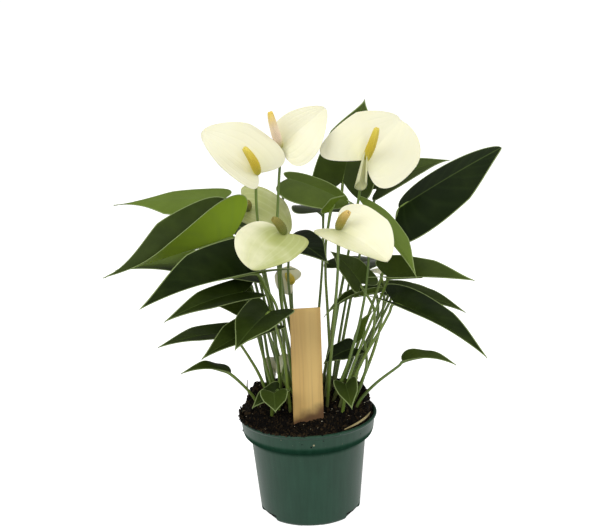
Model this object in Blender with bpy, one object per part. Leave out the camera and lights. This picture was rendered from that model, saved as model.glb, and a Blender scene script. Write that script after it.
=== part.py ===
"""Potted anthurium: pale spathes over heart-shaped leaves, in a green nursery pot with a wooden label.

Tables are in millimetres and degrees, and MM turns them into Blender's metres.
The origin is the centre of the pot's underside, +Z is up, and -Y is the plant's front.
"""

import math
from collections import namedtuple

import bmesh
import bpy
from mathutils import Matrix, Vector, noise
from mathutils.bvhtree import BVHTree

MM = 0.001
UP = Vector((0.0, 0.0, 1.0))

# Pot: turned shell with a deep rim band, standing on a ring and a middle pad
POT_HEIGHT = 90.0
RIM_RADIUS = 60.0
RIM_LIP = 1.6
BAND_RADIUS = 57.0
BODY_TOP_RADIUS = 50.0
FOOT_RADIUS = 43.5
FOOT_EDGE = 2.3
PAD_RADIUS = 12.0
RECESS_RADIUS = 36.5
RECESS_HEIGHT = 1.4
BAND_DEPTH = 15.5
SHOULDER_DEPTH = 5.0
WALL = 1.3
FLOOR_TOP = 3.0
POT_STEPS = 36
NOTCH_DEPTH = 10.0

# Drain notches round the pot's foot: degrees from the front, width and height
NOTCHES = ((0, 16, 1.0), (62, 27, 6.5), (118, 27, 6.5), (180, 16, 1.0), (242, 27, 6.5), (298, 27, 6.5))

# Soil: a root ball that domes above the rim, highest behind the middle
TOUCH_GAP = 0.3
SOIL_EDGE_HEIGHT = 88.4
SOIL_DOME = 17.0
SOIL_DOME_FRONT = -40.0
SOIL_DOME_LENGTH = 60.0
SOIL_SLOPE_WIDTH = 5.0
SOIL_LUMP = 1.0
SOIL_LUMPS_PER_MM = 0.11
SOIL_RINGS = (56.4, 54.0, 51.0, 42.0, 29.0, 14.0)
HOLE_CLEARANCE = 0.35
HOLE_SIDES = 6
HOLE_BELOW = 0.5
HOLE_ABOVE = 8.0

# Label: a flat wooden stake with a pointed foot
LABEL_WIDTH = 26.0
LABEL_THICKNESS = 2.0
LABEL_TOP = 191.0
LABEL_PLACE = (0.5, -25.0)
LABEL_TURN = 5.0
LABEL_DEPTH = 30.0
LABEL_POINT = 14.0
LABEL_FOOT_WIDTH = 6.0

# Stalks: each leaves the soil leaning towards its blade and runs up to it in one bend
STALK_DEPTH = 12.0
STALK_ROOT_RADIUS = 1.5
STALK_NECK_RADIUS = 1.15
STALK_POINT_EVERY = 34.0
STALK_SIDES = 5
STALK_LEAN = 0.3
LOW_HANDLE = 0.42
HIGH_HANDLE = 0.3
LEAF_ARRIVAL_LEAN = 0.5
BLOOM_ARRIVAL_LEAN = 0.3
STEM_TOP = 3.0

# Blades: a narrow one has one row of cells on each side of its midrib, a wide one two
BLADE_THICKNESS = 0.7
SPATHE_THICKNESS = 0.8
NARROW_BLADE = 45.0
WAVES_ALONG = 9.0
WAVE_STARTS = (1.0, 2.6)
RIB_REACH = 0.4
RIB_STEPS = ((0.45, 0.9), (1.0, 0.55))
RIB_SINK = 0.9

# A stalk takes the smallest sideways bow that keeps it this clear of every blade and of the stalks before it
CLEAR_GAP = 0.3
BOW_SIZES = (0.5, 3.0, 5.5, 8.0, 11.0, 15.0, 20.0, 26.0, 33.0)
BOW_SHARES = ((0.6, 1.0), (1.0, 0.2), (0.1, 1.0))
BOW_TURNS = 12
SAMPLE_EVERY = 2.0
SAMPLES_STOP = 5.0

# Half outlines as fractions of the blade's length and half width, and each row's foot on the midrib
LEAF_OUTLINE = ((0.0, 0.05), (-0.09, 0.20), (-0.15, 0.50), (-0.12, 0.78), (0.02, 0.97), (0.20, 0.98),
                (0.42, 0.79), (0.64, 0.50), (0.84, 0.18), (1.0, 0.015))
LEAF_FEET = (0.0, 0.012, 0.028, 0.05, 0.10, 0.19, 0.34, 0.55, 0.79, 1.0)
SPATHE_OUTLINE = ((0.0, 0.05), (-0.12, 0.20), (-0.22, 0.48), (-0.20, 0.80), (0.0, 1.0), (0.27, 0.99),
                  (0.52, 0.82), (0.75, 0.53), (0.91, 0.22), (1.0, 0.02))
SPATHE_FEET = (0.0, 0.012, 0.028, 0.05, 0.11, 0.24, 0.42, 0.64, 0.85, 1.0)

# Spadix: a bent finger, fullest below its middle, covered in florets
SPADIX_SIDES = 8
SPADIX_RINGS = 8
SPADIX_RADIUS = 2.7
SPADIX_LIFT = 1.1
SPADIX_PROFILE = (0.42, 0.85, 0.98, 1.0, 0.95, 0.87, 0.74, 0.45)
SPADIX_BEND = 0.25
SPADIX_BEND_PLACE = 0.4
FLORET_RELIEF = 0.06

# A blade: its neck is where the stalk meets it, roll turns it about its own length, fold lifts both halves
# from the midrib, curl bends each half further, and arch bows the midrib off the straight line to the tip
Blade = namedtuple("Blade", "neck tip width roll fold curl arch wave")
Plant = namedtuple("Plant", "name root blade kind")
Bloom = namedtuple("Bloom", "name root blade spadix kind")


def blade(neck, tip, width, roll=0.0, fold=12.0, curl=-10.0, arch=0.06, wave=0.6):
    return Blade(Vector(neck), Vector(tip), width, roll, fold, curl, arch, wave)


def leaf(name, root, shape):
    return Plant(name, root, shape, "leaf")


def bud(name, root, shape):
    return Plant(name, root, shape, "spathe")


def bloom(name, root, shape, spadix):
    return Bloom(name, root, shape, Vector(spadix), "spathe")


LEAVES = (
    leaf("leaf_left_top", (-20, 28), blade((-64, 17, 278), (-163, 50, 268), 40, roll=-12, arch=0.02)),
    leaf("leaf_left_folded", (-22, 2),
         blade((-57, -24, 255), (-161, -60, 233), 80, roll=-15, fold=58, arch=0.0)),
    leaf("leaf_left_behind", (-27, 12), blade((-50, 0, 219), (-156, -20, 228), 46, roll=-12, fold=14)),
    leaf("leaf_left_dark", (-17, -3), blade((-37, -55, 231), (-128, -105, 219), 68, roll=-18, fold=40)),
    leaf("leaf_left_under", (-28, 4), blade((-49, -28, 208), (-114, -60, 194), 32, roll=-20, fold=15)),
    leaf("leaf_left_hanging", (-33, 16), blade((-46, -2, 192), (-77, -12, 193), 30, roll=-40, fold=10)),
    leaf("leaf_left_low", (-35, 10), blade((-61, 0, 163), (-125, -20, 159), 32, roll=-10, fold=15)),
    leaf("leaf_left_inner", (-23, -5), blade((-34, -30, 178), (-85, -66, 163), 36, roll=-20, fold=25)),
    leaf("leaf_front_left", (-15, -12), blade((-28, -54, 198), (-56, -96, 180), 42, roll=-10, fold=15)),
    leaf("leaf_left_small", (-43, -4), blade((-64, -25, 136), (-105, -40, 142), 15, roll=-12, arch=0.12)),
    leaf("leaf_ground_left", (-25, -10), blade((-24, -20, 118), (-47, -34, 107), 22, roll=-10)),
    leaf("leaf_ground_heart", (-31, -17), blade((-28, -37, 121), (-27, -53, 110), 24)),
    leaf("leaf_ground_right", (30, -16), blade((33, -22, 121), (37, -46, 108), 22, roll=10, fold=25)),
    leaf("leaf_right_small", (43, -8),
         blade((82, -15, 138), (127, -25, 136), 16, roll=10, fold=15, arch=0.12)),
    leaf("leaf_right_low", (34, -5), blade((75, -32, 195), (147, -70, 157), 42, roll=5, fold=28)),
    leaf("leaf_right_middle", (36, 2), blade((78, 3, 195), (137, -8, 177), 28, roll=15, fold=15)),
    leaf("leaf_right_back", (37, 16), blade((77, 25, 191), (124, 45, 176), 26, roll=10)),
    leaf("leaf_right_folded", (28, -9),
         blade((70, -38, 219), (138, -60, 220), 42, roll=15, fold=35, arch=0.02)),
    leaf("leaf_right_front", (23, -3), blade((56, -20, 269), (90, -78, 229), 40, roll=-15, fold=20)),
    leaf("leaf_right_large", (30, 14),
         blade((83, 5, 267), (174, 40, 309), 68, roll=35, fold=-20, curl=-6, arch=0.02)),
    leaf("leaf_right_top", (24, 20), blade((68, 53, 274), (135, 93, 289), 40, roll=15, fold=20)),
    leaf("leaf_back_top", (14, 24), blade((37, 38, 285), (60, 90, 347), 60, roll=10, fold=15)),
    leaf("leaf_back_middle", (-3, 14), blade((-10, 22, 292), (40, 2, 273), 40, roll=35, fold=10)),
    leaf("leaf_centre_dark", (-10, 18), blade((-10, 12, 241), (21, -32, 231), 40, roll=10, fold=10)),
    leaf("leaf_right_under", (29, 0), blade((48, -14, 208), (24, 6, 231), 38, fold=15)),
    leaf("leaf_centre_rolled", (35, 8), blade((62, 12, 191), (16, -20, 181), 18, fold=50, arch=0.1)),
    leaf("leaf_centre_low", (24, 4), blade((41, 3, 145), (15, -9, 136), 28, roll=-15, fold=10)),
    leaf("leaf_young_tall", (20, 10), blade((24, -8, 269), (36, -20, 285), 14, fold=50)),
    leaf("leaf_young_rolled", (40, -4), blade((48, -15, 160), (58, -21, 186), 14, fold=60)),
    leaf("leaf_rear_left", (-14, 32), blade((-50, 60, 240), (-130, 110, 235), 56)),
    leaf("leaf_rear", (6, 34), blade((20, 75, 250), (20, 165, 225), 58)),
    leaf("leaf_rear_right", (24, 34), blade((44, 66, 200), (84, 136, 182), 50)),
)

BUDS = (
    bud("bud_low_left", (-30, 34), blade((-28, 36, 115), (-37, 33, 128), 22, roll=-75, fold=34)),
    bud("bud_low_middle", (-6, -2), blade((-20, 3, 127), (-18, 1, 143), 14, roll=-40, fold=30)),
    bud("bud_low_right", (44, 18), blade((43, 24, 110), (44, 22, 118), 10, fold=30)),
    bud("bud_right", (44, 6), blade((66, 12, 213), (72, -2, 211), 16, roll=20, fold=15)),
)

BLOOMS = (
    bloom("bloom_left", (-12, 4), blade((-34, -34, 309), (-77, -38, 345), 58, roll=-65, fold=8),
          spadix=(-43, -52, 333)),
    bloom("bloom_top", (-4, 4), blade((-15, -12, 326), (23, -10, 356), 48, roll=70, fold=15),
          spadix=(-22, -28, 357)),
    bloom("bloom_right", (16, 4), blade((54, -15, 313), (85, 5, 342), 72, roll=60, fold=8),
          spadix=(64, -36, 346)),
    bloom("bloom_green", (-16, 12), blade((-45, 12, 269), (-10, 0, 250), 48, roll=35, fold=9),
          spadix=(-45, -6, 282)),
    bloom("bloom_front_left", (-9, -6), blade((-14, -66, 266), (-40, -102, 247), 62, roll=-25, fold=5),
          spadix=(-22, -78, 281)),
    bloom("bloom_front_right", (17, -8), blade((29, -62, 267), (66, -96, 248), 54, roll=20, fold=18),
          spadix=(37, -78, 284)),
    bloom("bloom_rear_low", (-8, 26), blade((-10, 38, 196), (-24, 40, 204), 26, roll=-60),
          spadix=(-14, 30, 206)),
)


def clear_scene():
    for old in list(bpy.data.objects):
        bpy.data.objects.remove(old)


def finish_material(name, colour, roughness):
    material = bpy.data.materials.new(name)
    material.use_nodes = True
    shader = material.node_tree.nodes["Principled BSDF"]
    shader.inputs["Base Color"].default_value = (*colour, 1.0)
    shader.inputs["Roughness"].default_value = roughness
    return material


def add_object(name, mesh, material, sharp_degrees=None):
    made = bpy.data.objects.new(name, mesh)
    bpy.context.scene.collection.objects.link(made)
    mesh.materials.append(material)
    if sharp_degrees:
        mesh.shade_smooth()
        mesh.set_sharp_from_angle(angle=math.radians(sharp_degrees))
    return made


def add_helper(name, mesh, collection):
    """A hidden object that only shapes another one."""
    helper = bpy.data.objects.new(name, mesh)
    collection.objects.link(helper)
    helper.hide_render = True
    helper.display_type = "WIRE"
    return helper


def mesh_of(name, points, faces):
    """A mesh in metres from millimetre points."""
    mesh = bpy.data.meshes.new(name)
    mesh.from_pydata([point * MM for point in points], [], faces)
    return mesh


def mesh_from(shape, name):
    """A mesh from a bmesh, which is used up."""
    mesh = bpy.data.meshes.new(name)
    shape.to_mesh(mesh)
    shape.free()
    return mesh


def block_mesh(name, size):
    shape = bmesh.new()
    bmesh.ops.create_cube(shape, size=1.0)
    bmesh.ops.scale(shape, vec=Vector(size) * MM, verts=shape.verts)
    return mesh_from(shape, name)


def cut(piece, cutters):
    """Take a collection of cutters away from a piece."""
    bpy.context.scene.collection.children.link(cutters)
    cutters.hide_render = True
    modifier = piece.modifiers.new("cut", "BOOLEAN")
    modifier.operation = "DIFFERENCE"
    modifier.solver = "EXACT"
    modifier.operand_type = "COLLECTION"
    modifier.collection = cutters


def circle_turns(count):
    return [2 * math.pi * i / count for i in range(count)]


def on_circle(radius, turn, height=0.0):
    return Vector((radius * math.cos(turn), radius * math.sin(turn), height))


def taper(start, end, count):
    return [start + (end - start) * i / (count - 1) for i in range(count)]


def smooth_step(share):
    share = min(1.0, max(0.0, share))
    return share * share * (3 - 2 * share)


def soil_height(x, y):
    """The soil's upper surface: level at the front rim and domed towards the back, with small lumps."""
    rise = smooth_step((SOIL_RINGS[0] - math.hypot(x, y)) / SOIL_SLOPE_WIDTH)
    dome = SOIL_DOME * smooth_step((y - SOIL_DOME_FRONT) / SOIL_DOME_LENGTH)
    lump = SOIL_LUMP * noise.noise(Vector((x, y, 0.0)) * SOIL_LUMPS_PER_MM)
    return SOIL_EDGE_HEIGHT + dome * rise + lump * (1 + 2 * rise)


def blade_axes(shape):
    """Unit vectors of a blade: along it, out of its upper face and towards its left edge."""
    along = (shape.tip - shape.neck).normalized()
    face = (UP - along * UP.dot(along)).normalized()
    face = Matrix.Rotation(math.radians(shape.roll), 3, along) @ face
    return along, face, face.cross(along)


def blade_point(shape, share, across):
    """The point a share of the way along the blade and across millimetres from its midrib."""
    along, face, side = blade_axes(shape)
    length = (shape.tip - shape.neck).length
    bulge = 4 * shape.arch * share * (1 - share)
    slope = 4 * shape.arch * (1 - 2 * share)
    spine = shape.neck + along * length * share + face * length * bulge
    normal = (face - along * slope).normalized()
    edge = abs(across) / (shape.width / 2)
    tilt = math.radians(shape.fold + shape.curl * edge / 2)
    start = WAVE_STARTS[0] if across > 0 else WAVE_STARTS[1]
    ripple = shape.wave * edge * edge * math.sin(WAVES_ALONG * share + start)
    return (spine + side * across * math.cos(tilt)
            + normal * (abs(across) * math.sin(tilt) + ripple))


def blade_grid(shape, kind):
    """Points of the blade's middle surface in rows across it, with its triangles as point numbers."""
    outline, feet = (LEAF_OUTLINE, LEAF_FEET) if kind == "leaf" else (SPATHE_OUTLINE, SPATHE_FEET)
    cells = 1 if shape.width < NARROW_BLADE else 2
    points, triangles = [], []
    for (out_share, out_across), foot in zip(outline, feet):
        for column in range(-cells, cells + 1):
            share = foot + (out_share - foot) * abs(column) / cells
            points.append(blade_point(shape, share, out_across * shape.width / 2 * column / cells))
    wide = 2 * cells + 1
    for row in range(len(feet) - 1):
        for column in range(2 * cells):
            corner = row * wide + column
            triangles.append((corner, corner + wide, corner + wide + 1))
            triangles.append((corner, corner + wide + 1, corner + 1))
    return points, triangles


def rod(points, radii, sides, relief=0.0, first_normal=None):
    """Points and faces of a capped rod; relief lifts and sinks its points in a chequered pattern."""
    verts, faces = [], []
    across = None
    last = len(points) - 1
    for ring, (point, radius) in enumerate(zip(points, radii)):
        along = (points[min(ring + 1, last)] - points[max(ring - 1, 0)]).normalized()
        if ring == 0 and first_normal:
            along = first_normal
        across = along.orthogonal() if across is None else across - along * across.dot(along)
        across.normalize()
        other = along.cross(across)
        for side, turn in enumerate(circle_turns(sides)):
            bump = 1 + relief * (1 if (side + ring) % 2 else -1) * (0 < ring < last)
            verts.append(point + (across * math.cos(turn) + other * math.sin(turn)) * radius * bump)
    for ring in range(last):
        for side in range(sides):
            low, high = ring * sides, (ring + 1) * sides
            after = (side + 1) % sides
            faces.append((low + side, low + after, high + after, high + side))
    faces.append(tuple(reversed(range(sides))))
    faces.append(tuple(range(last * sides, (last + 1) * sides)))
    return verts, faces


def stalk_path(root, end, arrival, low_bow, high_bow):
    """Points of a stalk, from its foot in the soil up to its end, which it reaches along arrival."""
    start = Vector((*root, soil_height(*root)))
    level = Vector((end.x - start.x, end.y - start.y, 0))
    rise = (level * STALK_LEAN / max(level.length, 1.0) + UP).normalized()
    reach = (end - start).length
    first = start + rise * reach * LOW_HANDLE + low_bow
    second = end - arrival.normalized() * reach * HIGH_HANDLE + high_bow
    points = [start - (first - start).normalized() * STALK_DEPTH]
    for t in taper(0.0, 1.0, max(4, round(reach / STALK_POINT_EVERY)) + 1):
        points.append(start * (1 - t) ** 3 + first * 3 * t * (1 - t) ** 2
                      + second * 3 * t * t * (1 - t) + end * t ** 3)
    return points


def stalk_end(plant):
    """Where a stalk ends and the way it points there: under a leaf's neck, or short of a spathe."""
    shape = plant.blade
    along, face, _side = blade_axes(shape)
    if isinstance(plant, Bloom):
        return (shape.neck - face * (SPATHE_THICKNESS / 2 + TOUCH_GAP + STEM_TOP),
                face * BLOOM_ARRIVAL_LEAN + UP)
    return shape.neck - face * STALK_NECK_RADIUS, Vector((along.x, along.y, 0)) * LEAF_ARRIVAL_LEAN + UP


def stalk_radii(path):
    return taper(STALK_ROOT_RADIUS, STALK_NECK_RADIUS, len(path))


def bows():
    """Pairs of sideways offsets to try for a stalk, low down and below its end, smallest first."""
    for size in BOW_SIZES:
        for turn in circle_turns(BOW_TURNS):
            for low, high in BOW_SHARES:
                yield on_circle(size * low, turn), on_circle(size * high, turn)


def path_is_clear(path, obstacles):
    """Whether a stalk along the path keeps its gap, leaving out the last stretch by its own blade."""
    left = sum((b - a).length for a, b in zip(path, path[1:])) - SAMPLES_STOP
    for a, b, radius in zip(path, path[1:], stalk_radii(path)):
        limit = radius + BLADE_THICKNESS / 2 + CLEAR_GAP
        span = (b - a).length
        for step in range(max(1, round(span / SAMPLE_EVERY))):
            if left - step * SAMPLE_EVERY < 0:
                return True
            if obstacles.find_nearest(a + (b - a) * step * SAMPLE_EVERY / span, limit)[0] is not None:
                return False
        left -= span
    return True


def clear_path(plant, obstacles):
    end, arrival = stalk_end(plant)
    for low_bow, high_bow in bows():
        path = stalk_path(plant.root, end, arrival, low_bow, high_bow)
        if path_is_clear(path, obstacles):
            return path
    raise ValueError("no clear way for the stalk of " + plant.name)


def search_tree(surfaces):
    """One tree to measure distances to, from several (points, faces) surfaces."""
    verts, faces = [], []
    for points, polygons in surfaces:
        faces += [tuple(corner + len(verts) for corner in polygon) for polygon in polygons]
        verts += points
    return BVHTree.FromPolygons(verts, faces)


def lay_stalks(plants):
    """A path for every stalk, each bowed just enough to pass the blades, the label and the stalks so far."""
    grids = {plant.name: blade_grid(plant.blade, plant.kind) for plant in plants}
    placed = [label_box()]
    paths = {}
    for plant in plants:
        blades = [grid for name, grid in grids.items() if name != plant.name or isinstance(plant, Bloom)]
        path = clear_path(plant, search_tree(placed + blades))
        paths[plant.name] = path
        placed.append(rod(path, stalk_radii(path), STALK_SIDES))
    return paths


def thicken(piece, thickness):
    solid = piece.modifiers.new("thickness", "SOLIDIFY")
    solid.thickness = thickness * MM
    solid.offset = 0.0


def union(piece, other):
    """Join another object to a piece. EXACT gives an empty mesh on blades this thin, so it is MANIFOLD."""
    join = piece.modifiers.new("join", "BOOLEAN")
    join.operation = "UNION"
    join.solver = "MANIFOLD"
    join.object = other


def add_plant_piece(plant, path, material):
    """A blade and its stalk in one body: the stalk runs on under the blade as its midrib."""
    shape = plant.blade
    mesh = mesh_of(plant.name, *blade_grid(shape, plant.kind))
    piece = add_object(plant.name, mesh, material, sharp_degrees=80)
    thicken(piece, BLADE_THICKNESS)
    face = blade_axes(shape)[1]
    rib = [blade_point(shape, RIB_REACH * share, 0) - face * radius * RIB_SINK
           for share, radius in RIB_STEPS]
    radii = stalk_radii(path) + [radius for _share, radius in RIB_STEPS]
    stalk = mesh_of(plant.name + "_stalk", *rod(path + rib, radii, STALK_SIDES))
    union(piece, add_helper(plant.name + "_stalk", stalk, bpy.context.scene.collection))


def add_bloom(flower, path, materials):
    """Stem, spathe and spadix of one bloom, each its own body a touch gap from the next."""
    shape = flower.blade
    face = blade_axes(shape)[1]
    surface = mesh_of("spathe", *blade_grid(shape, flower.kind))
    spathe = add_object(flower.name + "_spathe", surface, materials["spathe"], sharp_degrees=80)
    thicken(spathe, SPATHE_THICKNESS)
    path = path + [path[-1] + face * STEM_TOP]
    stem = mesh_of("stem", *rod(path, stalk_radii(path), STALK_SIDES))
    add_object(flower.name + "_stem", stem, materials["stem"], sharp_degrees=80)
    points = spadix_points(shape.neck + face * SPADIX_LIFT, flower.spadix, face)
    radii = [SPADIX_RADIUS * share for share in SPADIX_PROFILE]
    spadix = mesh_of("spadix", *rod(points, radii, SPADIX_SIDES, FLORET_RELIEF, face))
    add_object(flower.name + "_spadix", spadix, materials["spadix"], sharp_degrees=80)


def spadix_points(base, tip, face):
    """Points up the middle of a spadix, which leaves the spathe along its face and bends to the tip."""
    lean = tip - base
    middle = base + face * lean.length * SPADIX_BEND + lean * SPADIX_BEND_PLACE
    return [base * (1 - t) ** 2 + middle * 2 * t * (1 - t) + tip * t * t
            for t in taper(0.0, 1.0, SPADIX_RINGS)]


def inner_wall_radius(height):
    """Inside radius of the pot at a height: the body, the shoulder and the band."""
    band_low = POT_HEIGHT - BAND_DEPTH
    shoulder_low = band_low - SHOULDER_DEPTH
    if height >= band_low:
        share = (height - band_low) / BAND_DEPTH
        return BAND_RADIUS - WALL + share * (RIM_RADIUS - RIM_LIP - BAND_RADIUS)
    if height >= shoulder_low:
        share = (height - shoulder_low) / SHOULDER_DEPTH
        return BODY_TOP_RADIUS - WALL + share * (BAND_RADIUS - BODY_TOP_RADIUS)
    return FOOT_RADIUS - WALL + (BODY_TOP_RADIUS - FOOT_RADIUS) * height / shoulder_low


def just_below(height):
    """A height on the lower side of a corner in the wall."""
    return height - 0.01


def pot_profile():
    """(radius, height) points from the middle of the underside, up the outside and down the inside."""
    band_low = POT_HEIGHT - BAND_DEPTH
    shoulder_low = band_low - SHOULDER_DEPTH
    return (
        (0, 0), (PAD_RADIUS, 0), (PAD_RADIUS + RECESS_HEIGHT, RECESS_HEIGHT),
        (RECESS_RADIUS - RECESS_HEIGHT, RECESS_HEIGHT), (RECESS_RADIUS, 0),
        (FOOT_RADIUS - FOOT_EDGE, 0), (FOOT_RADIUS, FOOT_EDGE), (BODY_TOP_RADIUS, shoulder_low),
        (BAND_RADIUS - RIM_LIP / 2, band_low - RIM_LIP), (BAND_RADIUS, band_low + RIM_LIP / 2),
        (RIM_RADIUS - RIM_LIP, POT_HEIGHT - 2 * RIM_LIP), (RIM_RADIUS, POT_HEIGHT - 1.4 * RIM_LIP),
        (RIM_RADIUS, POT_HEIGHT - RIM_LIP / 2), (RIM_RADIUS - RIM_LIP / 2, POT_HEIGHT),
        (inner_wall_radius(POT_HEIGHT), POT_HEIGHT), (inner_wall_radius(band_low), band_low),
        (inner_wall_radius(just_below(shoulder_low)), shoulder_low),
        (inner_wall_radius(FLOOR_TOP), FLOOR_TOP), (0, FLOOR_TOP),
    )


def add_pot(material):
    """The pot turned from its profile, with drain notches round its foot."""
    shell = bmesh.new()
    line = [shell.verts.new(Vector((radius, 0, height)) * MM) for radius, height in pot_profile()]
    edges = [shell.edges.new(pair) for pair in zip(line, line[1:])]
    bmesh.ops.spin(shell, geom=line + edges, cent=(0, 0, 0), axis=UP, angle=2 * math.pi,
                   steps=POT_STEPS, use_merge=True)
    bmesh.ops.remove_doubles(shell, verts=shell.verts, dist=0.01 * MM)
    bmesh.ops.recalc_face_normals(shell, faces=shell.faces)
    pot = add_object("pot", mesh_from(shell, "pot"), material, sharp_degrees=30)
    notches = bpy.data.collections.new("drain_notches")
    for index, (degrees, width, height) in enumerate(NOTCHES):
        turn = math.radians(degrees - 90)
        block = block_mesh("notch", (NOTCH_DEPTH, width, 2 * height))
        notch = add_helper("notch_%d" % index, block, notches)
        notch.location = on_circle(FOOT_RADIUS, turn) * MM
        notch.rotation_euler.z = turn
    cut(pot, notches)


def soil_rings():
    """Rings of points up the inside of the pot and in over the dome."""
    band_low = POT_HEIGHT - BAND_DEPTH
    rings = []
    for height in (FLOOR_TOP + TOUCH_GAP, band_low - SHOULDER_DEPTH, band_low):
        radius = inner_wall_radius(just_below(height)) - 2 * TOUCH_GAP
        rings.append([on_circle(radius, turn, height) for turn in circle_turns(POT_STEPS)])
    for radius in SOIL_RINGS:
        flat = [on_circle(radius, turn) for turn in circle_turns(POT_STEPS)]
        rings.append([Vector((point.x, point.y, soil_height(point.x, point.y))) for point in flat])
    return rings


def add_soil(paths, material):
    """The domed root ball, with a plain hole for every stalk and a slot for the label."""
    rings = soil_rings()
    points = [point for ring in rings for point in ring] + [Vector((0, 0, soil_height(0, 0)))]
    faces = [tuple(reversed(range(POT_STEPS)))]
    for ring in range(len(rings)):
        for i in range(POT_STEPS):
            low, after = ring * POT_STEPS + i, ring * POT_STEPS + (i + 1) % POT_STEPS
            if ring < len(rings) - 1:
                faces.append((low, after, after + POT_STEPS, low + POT_STEPS))
            else:
                faces.append((low, after, len(points) - 1))
    soil = add_object("soil", mesh_of("soil", points, faces), material, sharp_degrees=60)
    holes = bpy.data.collections.new("stalk_holes")
    hole_radius = (STALK_ROOT_RADIUS + HOLE_CLEARANCE) / math.cos(math.pi / HOLE_SIDES)
    for name, (foot, start, *_rest) in paths.items():
        rise = (start - foot).normalized()
        ends = [foot - rise * HOLE_BELOW, start + rise * HOLE_ABOVE]
        add_helper(name + "_hole", mesh_of("hole", *rod(ends, [hole_radius] * 2, HOLE_SIDES)), holes)
    slot_size = (LABEL_WIDTH + 2 * TOUCH_GAP, LABEL_THICKNESS + 2 * TOUCH_GAP, 2 * (LABEL_DEPTH + TOUCH_GAP))
    slot = add_helper("label_slot", block_mesh("slot", slot_size), holes)
    slot.matrix_world = label_matrix(soil_height(*LABEL_PLACE))
    cut(soil, holes)


def label_matrix(height):
    place = Vector((*LABEL_PLACE, height)) * MM
    return Matrix.Translation(place) @ Matrix.Rotation(math.radians(LABEL_TURN), 4, "Z")


def label_box():
    """The label above the soil as points and faces, for the stalks to pass."""
    half, thick = LABEL_WIDTH / 2, LABEL_THICKNESS / 2
    corners = [label_matrix(0.0) @ (Vector((x, y, z)) * MM) / MM
               for z in (soil_height(*LABEL_PLACE), LABEL_TOP)
               for x, y in ((-half, -thick), (half, -thick), (half, thick), (-half, thick))]
    return corners, [(0, 1, 5, 4), (1, 2, 6, 5), (2, 3, 7, 6), (3, 0, 4, 7), (4, 5, 6, 7)]


def add_label(material):
    """The stake: a flat strip, square at its top and pointed at its foot."""
    foot = soil_height(*LABEL_PLACE) - LABEL_DEPTH
    half, foot_half = LABEL_WIDTH / 2, LABEL_FOOT_WIDTH / 2
    outline = ((-half, LABEL_TOP), (-half, foot + LABEL_POINT), (-foot_half, foot), (foot_half, foot),
               (half, foot + LABEL_POINT), (half, LABEL_TOP))
    shape = bmesh.new()
    front = shape.faces.new([shape.verts.new(Vector((x, -LABEL_THICKNESS / 2, z)) * MM) for x, z in outline])
    grown = bmesh.ops.extrude_face_region(shape, geom=[front])["geom"]
    back = [vert for vert in grown if isinstance(vert, bmesh.types.BMVert)]
    bmesh.ops.translate(shape, vec=Vector((0, LABEL_THICKNESS, 0)) * MM, verts=back)
    bmesh.ops.recalc_face_normals(shape, faces=shape.faces)
    label = add_object("label", mesh_from(shape, "label"), material)
    label.matrix_world = label_matrix(0.0)


def main():
    clear_scene()
    materials = {
        "leaf": finish_material("leaf_green", (0.040, 0.110, 0.018), 0.35),
        "stem": finish_material("stem_green", (0.110, 0.210, 0.040), 0.45),
        "spathe": finish_material("spathe_cream", (0.86, 0.84, 0.62), 0.40),
        "spadix": finish_material("spadix_yellow", (0.72, 0.52, 0.10), 0.55),
    }
    add_pot(finish_material("pot_green", (0.045, 0.125, 0.075), 0.42))
    add_label(finish_material("label_wood", (0.56, 0.36, 0.19), 0.6))
    plants = BLOOMS + LEAVES + BUDS
    paths = lay_stalks(plants)
    for plant in plants:
        if isinstance(plant, Bloom):
            add_bloom(plant, paths[plant.name], materials)
        else:
            add_plant_piece(plant, paths[plant.name], materials[plant.kind])
    add_soil(paths, finish_material("potting_soil", (0.020, 0.014, 0.010), 0.95))


main()
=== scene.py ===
# %% [markdown]
# # Potted anthurium
#
# The real plant is four kinds of thing: thin glossy leaves on long stalks, waxy pale spathes with a
# knobbly spadix, a domed root ball of dark soil, and a moulded nursery pot with a wooden label. The
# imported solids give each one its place, and this notebook dresses them. Tables are in millimetres.

# %% Frame
import math

import bpy
import numpy as np
from mathutils import Matrix, Vector, noise


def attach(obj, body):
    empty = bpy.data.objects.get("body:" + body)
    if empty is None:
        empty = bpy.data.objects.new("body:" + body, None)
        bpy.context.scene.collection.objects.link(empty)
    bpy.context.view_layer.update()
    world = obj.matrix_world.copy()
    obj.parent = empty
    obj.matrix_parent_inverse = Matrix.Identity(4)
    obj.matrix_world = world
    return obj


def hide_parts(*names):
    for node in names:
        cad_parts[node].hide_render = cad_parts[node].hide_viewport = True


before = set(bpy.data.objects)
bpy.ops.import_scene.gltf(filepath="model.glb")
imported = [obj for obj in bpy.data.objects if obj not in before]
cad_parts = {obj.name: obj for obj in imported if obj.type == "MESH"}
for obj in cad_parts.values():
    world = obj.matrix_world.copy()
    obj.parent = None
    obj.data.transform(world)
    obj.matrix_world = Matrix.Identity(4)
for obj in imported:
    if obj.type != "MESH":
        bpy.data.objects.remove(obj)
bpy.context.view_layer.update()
scene = bpy.context.scene
MM = 0.001
UP = Vector((0.0, 0.0, 1.0))
print("solids in the frame:", len(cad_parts))

# %% [markdown]
# ## Formulas as nodes
#
# A finish or a growing shape is a formula over the surface. Wiring it by hand hides the formula, so one
# small class wraps a node's output and lets Python's operators add the Math nodes.

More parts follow.
